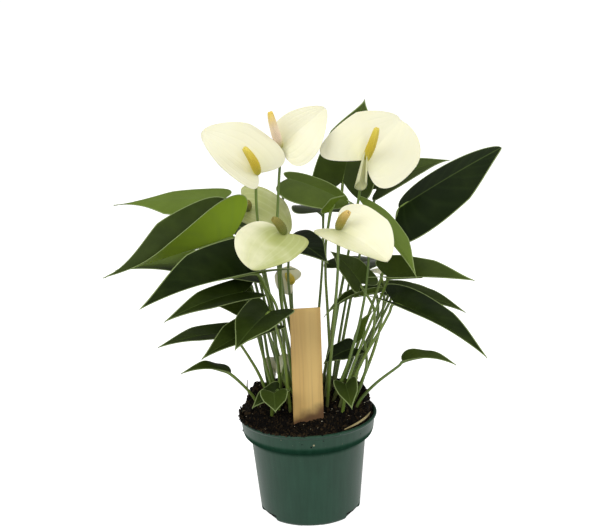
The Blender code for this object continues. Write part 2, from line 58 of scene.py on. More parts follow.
# %% Wire
class Wire:
    """One output of a node, or just a tree to start from."""

    def __init__(self, tree, socket=None):
        self.tree = tree
        self.socket = socket

    def node(self, kind, settings=(), inputs=(), output=0):
        """Add a node: its settings first, then the values or wires of its inputs."""
        made = self.tree.nodes.new(kind)
        for name, value in dict(settings).items():
            if name == "stops":
                set_stops(made.color_ramp, value)
            else:
                setattr(made, name, value)
        for name, value in dict(inputs).items():
            self.plug(made.inputs[name], value)
        return Wire(self.tree, made.outputs[output])

    def plug(self, socket, value):
        if isinstance(value, Wire):
            self.tree.links.new(value.socket, socket)
        else:
            socket.default_value = value

    def out(self, name):
        """Another output of the same node."""
        return Wire(self.tree, self.socket.node.outputs[name])

    def math(self, operation, *others):
        return self.node("ShaderNodeMath", {"operation": operation}, enumerate((self, *others)))

    def __add__(self, other):
        return self.math("ADD", other)

    def __sub__(self, other):
        return self.math("SUBTRACT", other)

    def __rsub__(self, other):
        return self.math("MULTIPLY_ADD", -1.0, other)

    def __mul__(self, other):
        return self.math("MULTIPLY", other)

    def __truediv__(self, other):
        return self.math("DIVIDE", other)

    def __pow__(self, power):
        return self.math("POWER", power)

    __radd__ = __add__
    __rmul__ = __mul__

    def smooth(self, low, high):
        """0 at low and 1 at high, with soft ends; low may be the larger."""
        settings = {"interpolation_type": "SMOOTHSTEP"}
        return self.node("ShaderNodeMapRange", settings, {"Value": self, "From Min": low, "From Max": high})

    def mix(self, first, second):
        """A colour between two, with this wire as the share of the second; a plain colour is opaque."""
        first, second = ((*end, 1.0) if isinstance(end, tuple) else end for end in (first, second))
        return self.node("ShaderNodeMix", {"data_type": "RGBA"}, {0: self, 6: first, 7: second}, 2)

    def curve(self, values):
        """A smooth row of numbers, spread evenly over 0 to 1, read at this wire's number."""
        low, span = min(values), max(values) - min(values)
        made = self.node("ShaderNodeFloatCurve", {}, {"Value": self})
        mapping = made.socket.node.mapping
        line = mapping.curves[0]
        last = len(values) - 1
        for step, value in enumerate(values):
            height = (value - low) / span
            if step in (0, last):
                line.points[-1 if step else 0].location = (step / last, height)
            else:
                line.points.new(step / last, height)
        mapping.update()
        return made * span + low


def set_stops(ramp, stops):
    """Give a colour ramp its (position, colour) stops."""
    while len(ramp.elements) < len(stops):
        ramp.elements.new(0.5)
    for element, (position, colour) in zip(ramp.elements, stops):
        element.position = position
        element.color = (*colour, 1.0)


# %% Finish helpers
def new_finish(name):
    """A material, a start for its wires and its shader."""
    material = bpy.data.materials.new(name)
    material.use_nodes = True
    return material, Wire(material.node_tree), material.node_tree.nodes["Principled BSDF"]


def connect(paint, shader, **values):
    """Give values or wires to the shader's sockets, named with underscores for their spaces."""
    for name, value in values.items():
        paint.plug(shader.inputs[name.replace("_", " ")], value)


def read(paint, name):
    """A number stored on the surface."""
    return paint.node("ShaderNodeAttribute", {"attribute_name": name}, output="Fac")


def on_piece(paint):
    """The place of each point of the piece."""
    return paint.node("ShaderNodeTexCoord", output="Object")


def split(spot):
    """The X of a place, with its Y and Z as the node's other outputs."""
    return spot.node("ShaderNodeSeparateXYZ", {}, {"Vector": spot})


def speckle(paint, scale, detail=3.0):
    """Soft noise from 0 to 1, fixed to the piece; scale is in lumps a metre."""
    return paint.node("ShaderNodeTexNoise", {}, {"Vector": on_piece(paint), "Scale": scale, "Detail": detail})


def streaks(paint, scales, detail):
    """Noise with its own scale on each axis, so that it runs along the axis of the smallest one."""
    spot = paint.node("ShaderNodeMapping", {}, {"Vector": on_piece(paint), "Scale": scales})
    return paint.node("ShaderNodeTexNoise", {}, {"Vector": spot, "Scale": 1.0, "Detail": detail})


def relief(paint, shader, height, depth):
    """Bumps of a depth in metres where height goes from 0 to 1."""
    bump = paint.node("ShaderNodeBump", {}, {"Height": height, "Distance": depth, "Strength": 1.0})
    connect(paint, shader, Normal=bump)


def two_sheens(paint, shader, share, levels, height, depth, **values):
    """Two shaders that differ only in their specular level, mixed by a share and with one relief.

    Each shader keeps one fixed specular level, and only the share between them changes over the surface.
    A level that is wired would be dropped by the export, which keeps the share of a Mix Shader.
    """
    second = paint.node("ShaderNodeBsdfPrincipled")
    for sheen, level in zip((shader, second.socket.node), levels):
        connect(paint, sheen, Specular_IOR_Level=level, **values)
        relief(paint, sheen, height, depth)
    first = Wire(paint.tree, shader.outputs[0])
    surface = paint.node("ShaderNodeMixShader", {}, {0: share, 1: first, 2: second})
    paint.plug(paint.tree.nodes["Material Output"].inputs["Surface"], surface)


# %% [markdown]
# ## Camera, floor and light
#
# The photograph looks a little down on the plant through a long lens, and is tipped by two degrees. The
# floor and the light are plain: a white floor that glows faintly, so that it stays white far behind, and
# four large soft lamps.

# %% Camera
LOOK_DOWN = math.radians(15.2)
TIP = math.radians(-2.0)
EYE_DISTANCE = 1.2
EYE_TARGET = Vector((-2.3, 0.0, 221.3)) * MM
LENS = 85.0


def put_in_scene(name, data):
    """A new object, linked to the scene."""
    made = bpy.data.objects.new(name, data)
    scene.collection.objects.link(made)
    return made


eye = put_in_scene("eye", bpy.data.cameras.new("eye"))
eye.data.lens = LENS
sight = Vector((0.0, math.cos(LOOK_DOWN), -math.sin(LOOK_DOWN)))
eye.matrix_world = (Matrix.Translation(EYE_TARGET - sight * EYE_DISTANCE)
                    @ Matrix.Rotation(math.pi / 2 - LOOK_DOWN, 4, "X") @ Matrix.Rotation(TIP, 4, "Z"))
scene.camera = eye
scene.view_settings.view_transform = "Standard"


# %% Floor and lamps
def lamp(name, place, size, power):
    """A square soft lamp that faces the middle of the plant."""
    light = bpy.data.lights.new(name, "AREA")
    light.size = size
    light.energy = power
    made = put_in_scene(name, light)
    made.location = place
    made.rotation_euler = (Vector(place) - EYE_TARGET).to_track_quat("Z", "Y").to_euler()


FLOOR_REACH = 20
floor_mesh = bpy.data.meshes.new("floor")
floor_corners = [(x * FLOOR_REACH, y * FLOOR_REACH, 0) for x, y in ((-1, -1), (1, -1), (1, 1), (-1, 1))]
floor_mesh.from_pydata(floor_corners, [], [(0, 1, 2, 3)])
floor = put_in_scene("floor", floor_mesh)
floor_finish, paint, shader = new_finish("floor")
connect(paint, shader, Base_Color=(0.55, 0.55, 0.54, 1.0), Roughness=0.9, Specular_IOR_Level=0.0,
        Emission_Color=(1.0, 1.0, 1.0, 1.0), Emission_Strength=0.93)
floor_mesh.materials.append(floor_finish)
floor.visible_diffuse = False

lamp("lamp_left", (-1.5, -1.6, 1.5), 1.6, 31.0)
lamp("lamp_right", (1.7, -0.6, 0.9), 1.4, 12.0)
lamp("lamp_front", (0.3, -2.2, 1.0), 1.5, 19.0)
lamp("lamp_above", (0.0, 0.2, 2.0), 2.4, 18.0)
world = bpy.data.worlds.new("sky")
world.use_nodes = True
background = world.node_tree.nodes["Background"].inputs
background["Color"].default_value = (1.0, 0.99, 0.95, 1.0)
background["Strength"].default_value = 0.18
scene.world = world


# %% [markdown]
# ## Growing shapes
#
# Leaves, stalks, spadices, the pot and the soil follow rules, so each kind is one Geometry Nodes tree with
# named inputs. A helper runs a tree on a holder, keeps the result as a plain mesh and removes the holder.

# %% Growing helpers
def growing_tree(name, inputs):
    """A geometry tree with named inputs; gives a start for wires and the inputs as wires."""
    tree = bpy.data.node_groups.new(name, "GeometryNodeTree")
    tree.interface.new_socket("Shape", in_out="OUTPUT", socket_type="NodeSocketGeometry")
    for label, kind in inputs.items():
        tree.interface.new_socket(label, in_out="INPUT", socket_type="NodeSocket" + kind)
    entry = tree.nodes.new("NodeGroupInput")
    return Wire(tree), {label: Wire(tree, entry.outputs[label]) for label in inputs}


def finish_tree(shape, material):
    """The way every tree ends: real geometry, one material, and the way out."""
    real = shape.node("GeometryNodeRealizeInstances", {}, {"Geometry": shape})
    painted = real.node("GeometryNodeSetMaterial", {}, {"Geometry": real, "Material": material})
    shape.tree.links.new(painted.socket, shape.tree.nodes.new("NodeGroupOutput").inputs[0])
    return shape.tree


def keep(shape, name, value, domain="POINT"):
    """Store a number on the geometry for the finish to read."""
    settings = {"data_type": "FLOAT", "domain": domain}
    return shape.node("GeometryNodeStoreNamedAttribute", settings,
                      {"Geometry": shape, "Name": name, "Value": value})


def stored(start, name):
    """A number kept on the geometry, read back."""
    return start.node("GeometryNodeInputNamedAttribute", {}, {"Name": name})


def position(start):
    """The place of each point."""
    return start.node("GeometryNodeInputPosition")


def moved(shape, place):
    """The geometry with each of its points at a new place."""
    return shape.node("GeometryNodeSetPosition", {}, {"Geometry": shape, "Position": place})


def ring_of(start, sides):
    """A circle of radius 1, to be swept or scaled."""
    return start.node("GeometryNodeCurvePrimitiveCircle", {}, {"Resolution": sides, "Radius": 1.0})


def all_smooth(shape):
    return shape.node("GeometryNodeSetShadeSmooth", {}, {"Geometry": shape, "Shade Smooth": True})


def soften(shape, sharp):
    """Smooth shading, except over edges that turn by more than an angle."""
    angle = shape.node("GeometryNodeInputMeshEdgeAngle")
    return shape.node("GeometryNodeSetShadeSmooth", {"domain": "EDGE"}, {
        "Geometry": shape, "Selection": angle.math("GREATER_THAN", sharp), "Shade Smooth": False})


def join(shape, *others):
    """Several geometries as one."""
    both = shape.node("GeometryNodeJoinGeometry", {}, {0: shape})
    for other in others:
        shape.tree.links.new(other.socket, both.socket.node.inputs[0])
    return both


def scaled(wire, share):
    """A vector made longer or shorter."""
    return wire.node("ShaderNodeVectorMath", {"operation": "SCALE"}, {0: wire, "Scale": share})


def vector(wire, x, y, z):
    return wire.node("ShaderNodeCombineXYZ", {}, {0: x, 1: y, 2: z})


def smooth_line(ask):
    """The curve through the points of a line mesh."""
    line = ask["Line"].node("GeometryNodeMeshToCurve", {}, {"Mesh": ask["Line"]})
    return line.node("GeometryNodeCurveSplineType", {"spline_type": "CATMULL_ROM"}, {"Curve": line})


def plain_mesh(item):
    """A mesh of an object as its modifiers leave it."""
    graph = bpy.context.evaluated_depsgraph_get()
    return bpy.data.meshes.new_from_object(item.evaluated_get(graph), depsgraph=graph)


def grow(name, tree, start=None, **values):
    """Run a tree on a mesh and keep what it makes as a plain object at the origin."""
    holder = put_in_scene(name + "_seed", start or bpy.data.meshes.new(name + "_seed"))
    modifier = holder.modifiers.new("grow", "NODES")
    modifier.node_group = tree
    for socket in tree.interface.items_tree:
        label = socket.name.replace(" ", "_").lower()
        if socket.in_out == "INPUT" and label in values:
            modifier[socket.identifier] = values[label]
    bpy.context.view_layer.update()
    mesh = plain_mesh(holder)
    bpy.data.objects.remove(holder)
    mesh.name = name
    return put_in_scene(name, mesh)


def settle(piece, slot, *nodes):
    """Hand a finished piece to the frame: it rides on the plant's one body and stands for its solids."""
    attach(piece, "root")
    if nodes:
        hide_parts(*nodes)


# %% [markdown]
# ## Blades
#
# A leaf or spathe is a heart that folds up along its midrib, arches towards its tip and ripples at its
# margin. Half a heart is one turn of sines: a breadth, a lobe that hooks back past the neck, and a belly
# that moves the widest place towards it. A flat grid is enough to start: one way runs across the blade,
# the other follows that outline from the neck to the tip. What the finish needs, such as how far a point
# is from the rib, is stored while the grid is still flat. Then the tree bends it, quilts it between its
# veins, and gives it a thickness.

# %% Blade tree
VEINS = 11.0
VEIN_SWEEP = 1.3
CELLS_ACROSS = 24
CELLS_ALONG = 44
SHARP_EDGE = 0.8
NECK_START = 0.04
TIP_STOP = 0.02
RIB_CROWDING = 1.4
FOOT_CROWDING = 1.3
RIPPLE_START = 1.8
RIPPLE_TURN = 9.0
RIPPLE_SHIFT = 0.8
WELD = 0.001 * MM


def veins_over(row, spread):
    """1 on each side vein and 0 between them, from the row and how far out the point is."""
    flow = row * VEINS - spread * VEIN_SWEEP
    return (flow.math("PINGPONG", 0.5) * 2).smooth(0.5, 0.0)


def half_heart(turn, parts, shoulder):
    """How far along and across the edge of a heart is, at an angle from 0 at its neck to pi at its tip."""
    breadth, back, belly = parts, parts.out("Y"), parts.out("Z")
    hook = (turn * 2).math("SINE")
    share = (1 - turn.math("COSINE")) * 0.5 - hook.math("MAXIMUM", 0.0) * back
    reach = turn.math("SINE") * (turn.math("COSINE") * belly + 1) * breadth
    return share - hook.math("MINIMUM", 0.0) * shoulder, reach


def blade_tree():
    """A blade from its neck at the origin along +X, with its upper side towards +Z."""
    start, ask = growing_tree("blade", {
        "Length": "Float", "Width": "Float", "Left": "Vector", "Right": "Vector", "Shoulder": "Float",
        "Fold": "Float", "Left lift": "Float", "Left twist": "Float", "Curl": "Float",
        "Arch": "Float", "Wave": "Float", "Quilting": "Float",
        "Thickness": "Float", "Upper tone": "Float", "Under tone": "Float", "Lean": "Float",
        "Neck": "Vector", "Turn": "Rotation", "Finish": "Material"})
    grid = start.node("GeometryNodeMeshGrid", {}, {
        "Size X": 2.0, "Size Y": 1.0, "Vertices X": CELLS_ACROSS + 1, "Vertices Y": CELLS_ALONG + 1})
    place = split(position(start))
    side = place.math("SIGN") * -1
    spread = place.math("ABSOLUTE") ** RIB_CROWDING
    row = place.out("Y") + 0.5
    turn = row * (math.pi - NECK_START - TIP_STOP) + NECK_START
    half = start.node("ShaderNodeMix", {"data_type": "VECTOR"}, {
        0: side * 0.5 + 0.5, 4: ask["Right"], 5: ask["Left"]}, 1)
    edge, rim = half_heart(turn, split(half), ask["Shoulder"])
    foot = ((1 - turn.math("COSINE")) * 0.5) ** FOOT_CROWDING
    share = foot + (edge - foot) * spread
    reach = rim * spread
    across = reach * ask["Width"] * 0.5
    lifted = ask["Left lift"] + ask["Left twist"] * (1 - share * 2)
    tilt = ask["Fold"] + (side * 0.5 + 0.5) * lifted + ask["Curl"] * reach * 0.5
    phase = share * RIPPLE_TURN + RIPPLE_START - side * RIPPLE_SHIFT
    ripple = reach * reach * phase.math("SINE") * ask["Wave"]
    puff = (1 - veins_over(row, spread)) * (spread - spread ** 3) * ask["Quilting"]
    lift = across * tilt.math("SINE") + ripple + puff
    slope = ask["Arch"] * 4 * (1 - share * 2)
    steep = (slope * slope + 1) ** 0.5
    along = share * ask["Length"] - lift * slope / steep
    up = ask["Arch"] * 4 * share * (1 - share) * ask["Length"] + lift / steep
    bent = vector(start, along, side * across * tilt.math("COSINE"), up)
    sheet = keep(grid, "from_rib", across / MM)
    sheet = keep(sheet, "from_edge", (rim * ask["Width"] * 0.5 - across) / MM)
    sheet = keep(keep(keep(sheet, "row", row), "spread", spread), "share", share)
    sheet = moved(keep(sheet, "lean", side * spread * ask["Lean"]), bent)
    drop = scaled(start.node("GeometryNodeInputNormal"), ask["Thickness"] * -0.5)
    low = start.node("GeometryNodeSetPosition", {}, {"Geometry": sheet, "Offset": drop})
    top = start.node("GeometryNodeExtrudeMesh", {}, {
        "Mesh": low, "Offset Scale": ask["Thickness"], "Individual": False})
    top = keep(keep(top, "tone", ask["Upper tone"], "FACE"), "under", 0.0, "FACE")
    under = start.node("GeometryNodeFlipFaces", {}, {"Mesh": low})
    under = keep(keep(under, "tone", ask["Under tone"], "FACE"), "under", 1.0, "FACE")
    closed = start.node("GeometryNodeMergeByDistance", {}, {
        "Geometry": join(top, under), "Distance": WELD})
    placed = start.node("GeometryNodeTransform", {}, {
        "Geometry": soften(closed, SHARP_EDGE), "Translation": ask["Neck"], "Rotation": ask["Turn"]})
    return finish_tree(placed, ask["Finish"])


blade_shape = blade_tree()

# %% [markdown]
# ## Rows of the blade tables
#
# A row says where a blade's stalk meets it, where its tip is and how wide it is, in millimetres. The rest
# of a row is only what differs from a plain blade: its roll about its length, the fold of its halves, the
# lift and twist of its left half and its curl, all in degrees, the arch as a share of its length, the wave
# of its margin in millimetres, the shoulder of its lobes, and the lean of its tone from right to left.

# %% Blade rows
PLAIN_BLADE = {"roll": 0, "fold": 12, "lift": 0, "twist": 0, "curl": -10, "arch": 0.06, "wave": 0.6,
               "shoulder": 0, "lean": 0}
LEAF_HALF = (0.78, 0.28, 0.9)
SPATHE_HALF = (0.90, 0.35, 0.4)


def heart(neck, tip, width, **rest):
    """One row of a table, filled in with what a plain blade has."""
    return {**PLAIN_BLADE, "neck": Vector(neck) * MM, "tip": Vector(tip) * MM, "width": width, **rest}


def blade_axes(shape):
    """Unit vectors of a row's blade: along it, out of its upper face and towards its left edge."""
    along = (shape["tip"] - shape["neck"]).normalized()
    face = (UP - along * UP.dot(along)).normalized()
    face = Matrix.Rotation(math.radians(shape["roll"]), 3, along) @ face
    return along, face, face.cross(along)


def grow_blade(name, shape, half, thickness, quilting, finish):
    """One blade from a table's row, with the plain half outline for the sides that the row leaves out."""
    along, face, side = blade_axes(shape)
    turn = Matrix((along, side, face)).transposed().to_euler()
    return grow(name, blade_shape, length=(shape["tip"] - shape["neck"]).length, width=shape["width"] * MM,
                left=shape.get("left", half), right=shape.get("right", half),
                shoulder=float(shape["shoulder"]), lean=float(shape["lean"]), arch=float(shape["arch"]),
                fold=math.radians(shape["fold"]), left_lift=math.radians(shape["lift"]),
                left_twist=math.radians(shape["twist"]), curl=math.radians(shape["curl"]),
                wave=shape["wave"] * MM, quilting=quilting * MM, thickness=thickness * MM,
                upper_tone=shape["tones"][0], under_tone=shape["tones"][1],
                neck=shape["neck"], turn=turn, finish=finish)


# %% [markdown]
# ## Leaf finish
#
# An anthurium leaf is dark and glossy above, paler and duller below, with a light midrib, faint side
# veins and a thin pale margin; the pale line along the edges is partly a painted highlight where light
# catches them. The blades carry how far each point is from the rib and from the edge, so the pattern
# follows every leaf. A tone on each side makes young leaves bright and old ones nearly black, and a high
# under tone also paints in light shining through the blade.
# The underside hardly shines, so two shaders are mixed, by whether a face is on it.

# %% Leaf finish
leaf_finish, paint, shader = new_finish("leaf")
rib = read(paint, "from_rib")
edge = read(paint, "from_edge")
spread = read(paint, "spread")
vein = veins_over(read(paint, "row"), spread)
cloud = speckle(paint, 60.0)
grain = speckle(paint, 900.0, 2.0)
tone = read(paint, "tone") + read(paint, "lean") + (cloud - 0.5) * 0.30 + read(paint, "share") * 0.08
above = tone.smooth(0.0, 1.5).mix((0.006, 0.013, 0.002), (0.185, 0.27, 0.04))
above = (vein * 0.04).mix(above, (0.07, 0.12, 0.025))
above = (rib.smooth(0.70, 0.30) * 0.28).mix(above, (0.12, 0.18, 0.045))
# The under side's own paler green; a high tone here also paints in light shining through the leaf.
below = tone.smooth(0.0, 1.5).mix((0.03, 0.055, 0.01), (0.27, 0.4, 0.03))
below = (vein * 0.15).mix(below, (0.19, 0.28, 0.05))
under = read(paint, "under")
colour = under.mix(above, below)
# A pale line along every edge: partly the leaf's own margin, partly a painted highlight where light catches
# the edge.
colour = (edge.smooth(0.9, 0.4) * 0.8).mix(colour, (0.3, 0.38, 0.15))
two_sheens(paint, shader, under, (0.08, 0.02), vein * -0.2 + grain * 0.12, 0.00015,
           Base_Color=colour, Roughness=under * 0.25 + grain * 0.12 + 0.28)

# %% [markdown]
# ## Leaves
#
# Each row is one leaf. Its tones are those of its upper and its under side; a high under tone, as on
# the folded left leaf, also paints in light shining through the blade. A small leaf is quilted less
# between its veins than one of the full width.

# %% Leaf table
LEAVES = {
    "left_top": heart((-64, 17, 278), (-163, 50, 268), 40, roll=-12, arch=0.02, right=(0.62, 0.10, 1.0),
                      shoulder=-0.09, lift=-35, tones=(0.88, 0.5)),
    # The folded-up near half shows its under side, whose high tone is painted light shining through it.
    "left_folded": heart((-57, -24, 255), (-161, -60, 233), 80, roll=-15, fold=58, arch=0,
                         left=(0.69, 0.28, 0.92), right=(0.72, 0.15, 0.95), shoulder=-0.05, twist=39,
                         tones=(0.36, 1.25)),
    "left_behind": heart((-50, 0, 219), (-156, -20, 228), 46, roll=-12, fold=14, lean=-0.4,
                         left=(1.10, 0.20, 0.9), tones=(0.55, 0.9)),
    "left_dark": heart((-37, -55, 231), (-128, -105, 219), 68, roll=-18, fold=40, tones=(0.13, 0.6)),
    "left_under": heart((-49, -28, 208), (-114, -60, 194), 32, roll=-20, fold=15, tones=(0.25, 0.5)),
    "left_hanging": heart((-46, -2, 192), (-77, -12, 193), 38, roll=-40, fold=10, tones=(0.45, 0.6)),
    "left_low": heart((-61, 0, 163), (-125, -20, 159), 32, roll=-10, fold=15, tones=(0.25, 0.5)),
    "left_inner": heart((-34, -30, 178), (-85, -66, 163), 36, roll=-20, fold=25, tones=(0.26, 0.5)),
    "front_left": heart((-28, -54, 198), (-56, -96, 180), 42, roll=-10, fold=15, tones=(0.28, 0.5)),
    "left_small": heart((-64, -25, 136), (-105, -40, 142), 15, roll=-12, arch=0.12, left=(0.30, 0.02, 0.5),
                        right=(1.30, 0.08, 0.9), tones=(0.3, 0.5)),
    "ground_left": heart((-24, -20, 118), (-47, -34, 107), 22, roll=-10, tones=(0.25, 0.4)),
    "ground_heart": heart((-28, -37, 121), (-27, -53, 110), 24, tones=(0.4, 0.4)),
    "ground_right": heart((33, -22, 121), (37, -46, 108), 22, roll=10, fold=25, tones=(0.35, 0.4)),
    "right_small": heart((82, -15, 138), (127, -25, 136), 16, roll=10, fold=15, arch=0.12,
                         left=(1.30, 0.08, 0.9), right=(0.30, 0.02, 0.5), tones=(0.4, 0.5)),
    "right_low": heart((75, -32, 195), (147, -70, 157), 42, roll=5, fold=28, lean=-0.1, tones=(0.2, 0.6)),
    "right_middle": heart((78, 3, 195), (137, -8, 177), 28, roll=15, fold=15, tones=(0.3, 0.5)),
    "right_back": heart((77, 25, 191), (124, 45, 176), 26, roll=10, tones=(0.2, 0.4)),
    "right_folded": heart((70, -38, 219), (138, -60, 220), 42, roll=15, fold=35, arch=0.02,
                          tones=(0.4, 0.9)),
    "right_front": heart((56, -20, 269), (90, -78, 229), 40, roll=-15, fold=20, left=(0.64, 0.50, 1.0),
                         tones=(0.9, 0.9)),
    "right_large": heart((83, 5, 267), (174, 40, 309), 68, roll=35, fold=-6, curl=-6, arch=0.02,
                         left=(0.42, 0.0, 0.1), right=(0.8, 0.3, 0.75), tones=(0.05, 0.5)),
    "right_top": heart((68, 53, 274), (135, 93, 289), 40, roll=15, fold=20, tones=(0.4, 0.6)),
    "back_top": heart((37, 38, 285), (60, 90, 347), 60, roll=10, fold=15, left=(0.68, 0.32, 1.0),
                      tones=(0.42, 0.5)),
    "back_middle": heart((-10, 22, 292), (40, 2, 273), 40, roll=35, fold=10, left=(0.48, 0.2, 0.0),
                         right=(1.15, 0.15, 0.2), tones=(0.62, 0.5)),
    "centre_dark": heart((-10, 12, 241), (21, -32, 231), 40, roll=10, fold=10, tones=(0.0, 0.2)),
    "right_under": heart((48, -14, 208), (24, 6, 231), 38, fold=15, tones=(0.4, 0.5)),
    "centre_rolled": heart((62, 12, 191), (16, -20, 181), 18, fold=50, arch=0.1, tones=(0.3, 0.5)),
    "centre_low": heart((41, 3, 145), (15, -9, 136), 28, roll=-15, fold=10, tones=(0.1, 0.3)),
    "young_tall": heart((24, -8, 269), (36, -20, 285), 14, fold=50, tones=(0.5, 0.6)),
    "young_rolled": heart((48, -15, 160), (58, -21, 186), 14, fold=60, tones=(0.3, 0.4)),
    "rear_left": heart((-50, 60, 240), (-130, 110, 235), 56, tones=(0.35, 0.5)),
    "rear": heart((20, 75, 250), (20, 165, 225), 58, tones=(0.3, 0.5)),
    "rear_right": heart((44, 66, 200), (84, 136, 182), 50, tones=(0.3, 0.5)),
}

# %% Leaf blades
LEAF_THICKNESS = 0.5
LEAF_QUILTING = 0.2
FULL_WIDTH = 40
for name, shape in LEAVES.items():
    quilting = LEAF_QUILTING * min(1.0, shape["width"] / FULL_WIDTH)
    blade = grow_blade(name + "_blade", shape, LEAF_HALF, LEAF_THICKNESS, quilting, leaf_finish)
    settle(blade, "leaf", "leaf_" + name)
print("leaves:", len(LEAVES))


# %% [markdown]
# ## Stalks
#
# Every leaf hangs on a round stalk that thickens at its root and in the knee below the blade, and runs on
# under the blade as its midrib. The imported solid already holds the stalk's way through the plant, so its
# middle line is read from level slices through the solid, and a tree sweeps a smooth tube along it.

# %% Stalk lines
SLICE = 4 * MM
SLICE_REACH = 1.2 * SLICE
FOOT_DEPTH = 1.5 * MM
SLICES_KEPT = 4


def slice_middle(edges, height, guess):
    """Middle of the cuts that a level plane makes in the edges, close to a guess."""
    low, high = edges[:, 0], edges[:, 1]
    cut = (low[:, 2] - height) * (high[:, 2] - height) < 0
    share = (height - low[cut, 2]) / (high[cut, 2] - low[cut, 2])
    points = low[cut] + (high[cut] - low[cut]) * share[:, None]
    near = points[np.linalg.norm(points - guess, axis=1) < SLICE_REACH]
    return (near.min(axis=0) + near.max(axis=0)) / 2 if len(near) else None


def stalk_line(node, stop):
    """Middle points of a node's stalk, from its foot up to a height, at every few slices."""
    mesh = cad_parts[node].data
    spots = np.array([vertex.co for vertex in mesh.vertices])
    edges = np.array([spots[list(edge.vertices)] for edge in mesh.edges])
    foot = spots[spots[:, 2] < spots[:, 2].min() + FOOT_DEPTH].mean(axis=0)
    line = [foot]
    step = np.array((0.0, 0.0, SLICE))
    for height in np.arange(foot[2] + SLICE, stop, SLICE):
        middle = slice_middle(edges, height, line[-1] + step)
        if middle is None:
            break
        step = middle - line[-1]
        line.append(middle)
    return [Vector(point) for point in line[::SLICES_KEPT]]


# %% Stalk tree
TUBE_STEP = 2.5 * MM


def stalk_tree():
    """A smooth tube along a wire, as thick as the wire's girth says."""
    start, ask = growing_tree("stalk", {"Line": "Geometry", "Sides": "Int", "Finish": "Material"})
    line = start.node("GeometryNodeResampleCurve", {"mode": "LENGTH"}, {
        "Curve": smooth_line(ask), "Length": TUBE_STEP})
    tube = start.node("GeometryNodeCurveToMesh", {}, {
        "Curve": line, "Profile Curve": ring_of(start, ask["Sides"]), "Scale": stored(start, "girth"),
        "Fill Caps": True})
    return finish_tree(tube, ask["Finish"])


stalk_shape = stalk_tree()


def wire_mesh(name, points, numbers):
    """A mesh that is one line of points, with named numbers on them."""
    mesh = bpy.data.meshes.new(name)
    mesh.from_pydata(points, [(i, i + 1) for i in range(len(points) - 1)], [])
    for label, values in numbers.items():
        mesh.attributes.new(label, "FLOAT", "POINT").data.foreach_set("value", values)
    return mesh


def grow_stalk(name, points, girths, tone, finish, sides=10):
    """A tube through points, with its radius at each of them in millimetres and one tone."""
    climb = [i / (len(points) - 1) for i in range(len(points))]
    numbers = {"girth": [girth * MM for girth in girths], "climb": climb, "tone": [tone] * len(points)}
    return grow(name, stalk_shape, wire_mesh(name + "_line", points, numbers), sides=sides, finish=finish)


# %% Stalk finish
stalk_finish, paint, shader = new_finish("stalk")
climb = read(paint, "climb")
tone = read(paint, "tone") + (speckle(paint, 45.0) - 0.5) * 0.5
fresh = tone.smooth(0.0, 1.0).mix((0.08, 0.14, 0.018), (0.205, 0.29, 0.045))
colour = climb.smooth(0.16, 0.02).mix(fresh, (0.085, 0.07, 0.03))
streak = streaks(paint, (1800.0, 1800.0, 90.0), 2.0)
connect(paint, shader, Base_Color=colour, Roughness=streak * 0.2 + 0.32)
relief(paint, shader, streak, 0.00015)

# %% Leaf stalks
ROOT_GIRTH = 1.6
NECK_GIRTH = 1.15
RIB_REACH = 0.4
RIB_STEPS = ((0.45, 0.9), (1.0, 0.45))
RIB_SINK = 1.2
KNEE_GIRTH = 1.35
KNEE_DROP = 3 * MM
TAPER_HASTE = 1.6
GOLDEN_SHARE = 0.618


def girths_up(count, knee):
    """Radii up a stalk, from its root to the knee below its blade."""
    radii = [ROOT_GIRTH + (NECK_GIRTH - ROOT_GIRTH) * min(1.0, TAPER_HASTE * i / count) for i in range(count)]
    return radii[:-1] + [knee]


def rib_points(shape):
    """Where the stalk meets its blade, and the points where it runs on under it as the midrib."""
    neck, way = shape["neck"], shape["tip"] - shape["neck"]
    face = blade_axes(shape)[1]
    points = []
    for share, girth in RIB_STEPS:
        along = RIB_REACH * share
        bulge = 4 * shape["arch"] * along * (1 - along)
        points.append(neck + way * along + face * (way.length * bulge - RIB_SINK * girth * MM))
    return neck - face * NECK_GIRTH * MM, points


def grow_leaf_stalk(name, node, shape, tone):
    """The stalk of a row's blade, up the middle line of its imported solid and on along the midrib."""
    end, rib_line = rib_points(shape)
    line = stalk_line(node, end.z - KNEE_DROP)
    points = line + [end] + rib_line
    girths = girths_up(len(line) + 1, KNEE_GIRTH) + [girth for _share, girth in RIB_STEPS]
    stalk = grow_stalk(name, points, girths, tone, stalk_finish)
    settle(stalk, "leaf", node)


for index, (name, shape) in enumerate(LEAVES.items()):
    tone = 0.25 + 0.5 * (index * GOLDEN_SHARE % 1.0)
    grow_leaf_stalk(name + "_stalk", "leaf_" + name, shape, tone)
print("stalks:", len(LEAVES))

# %% [markdown]
# ## Spathes
#
# The flower of an anthurium is a spathe, a waxy pale leaf that holds the spadix. Opening ones are still
# green round their base and along their veins, which run from the base in curves towards the tip.

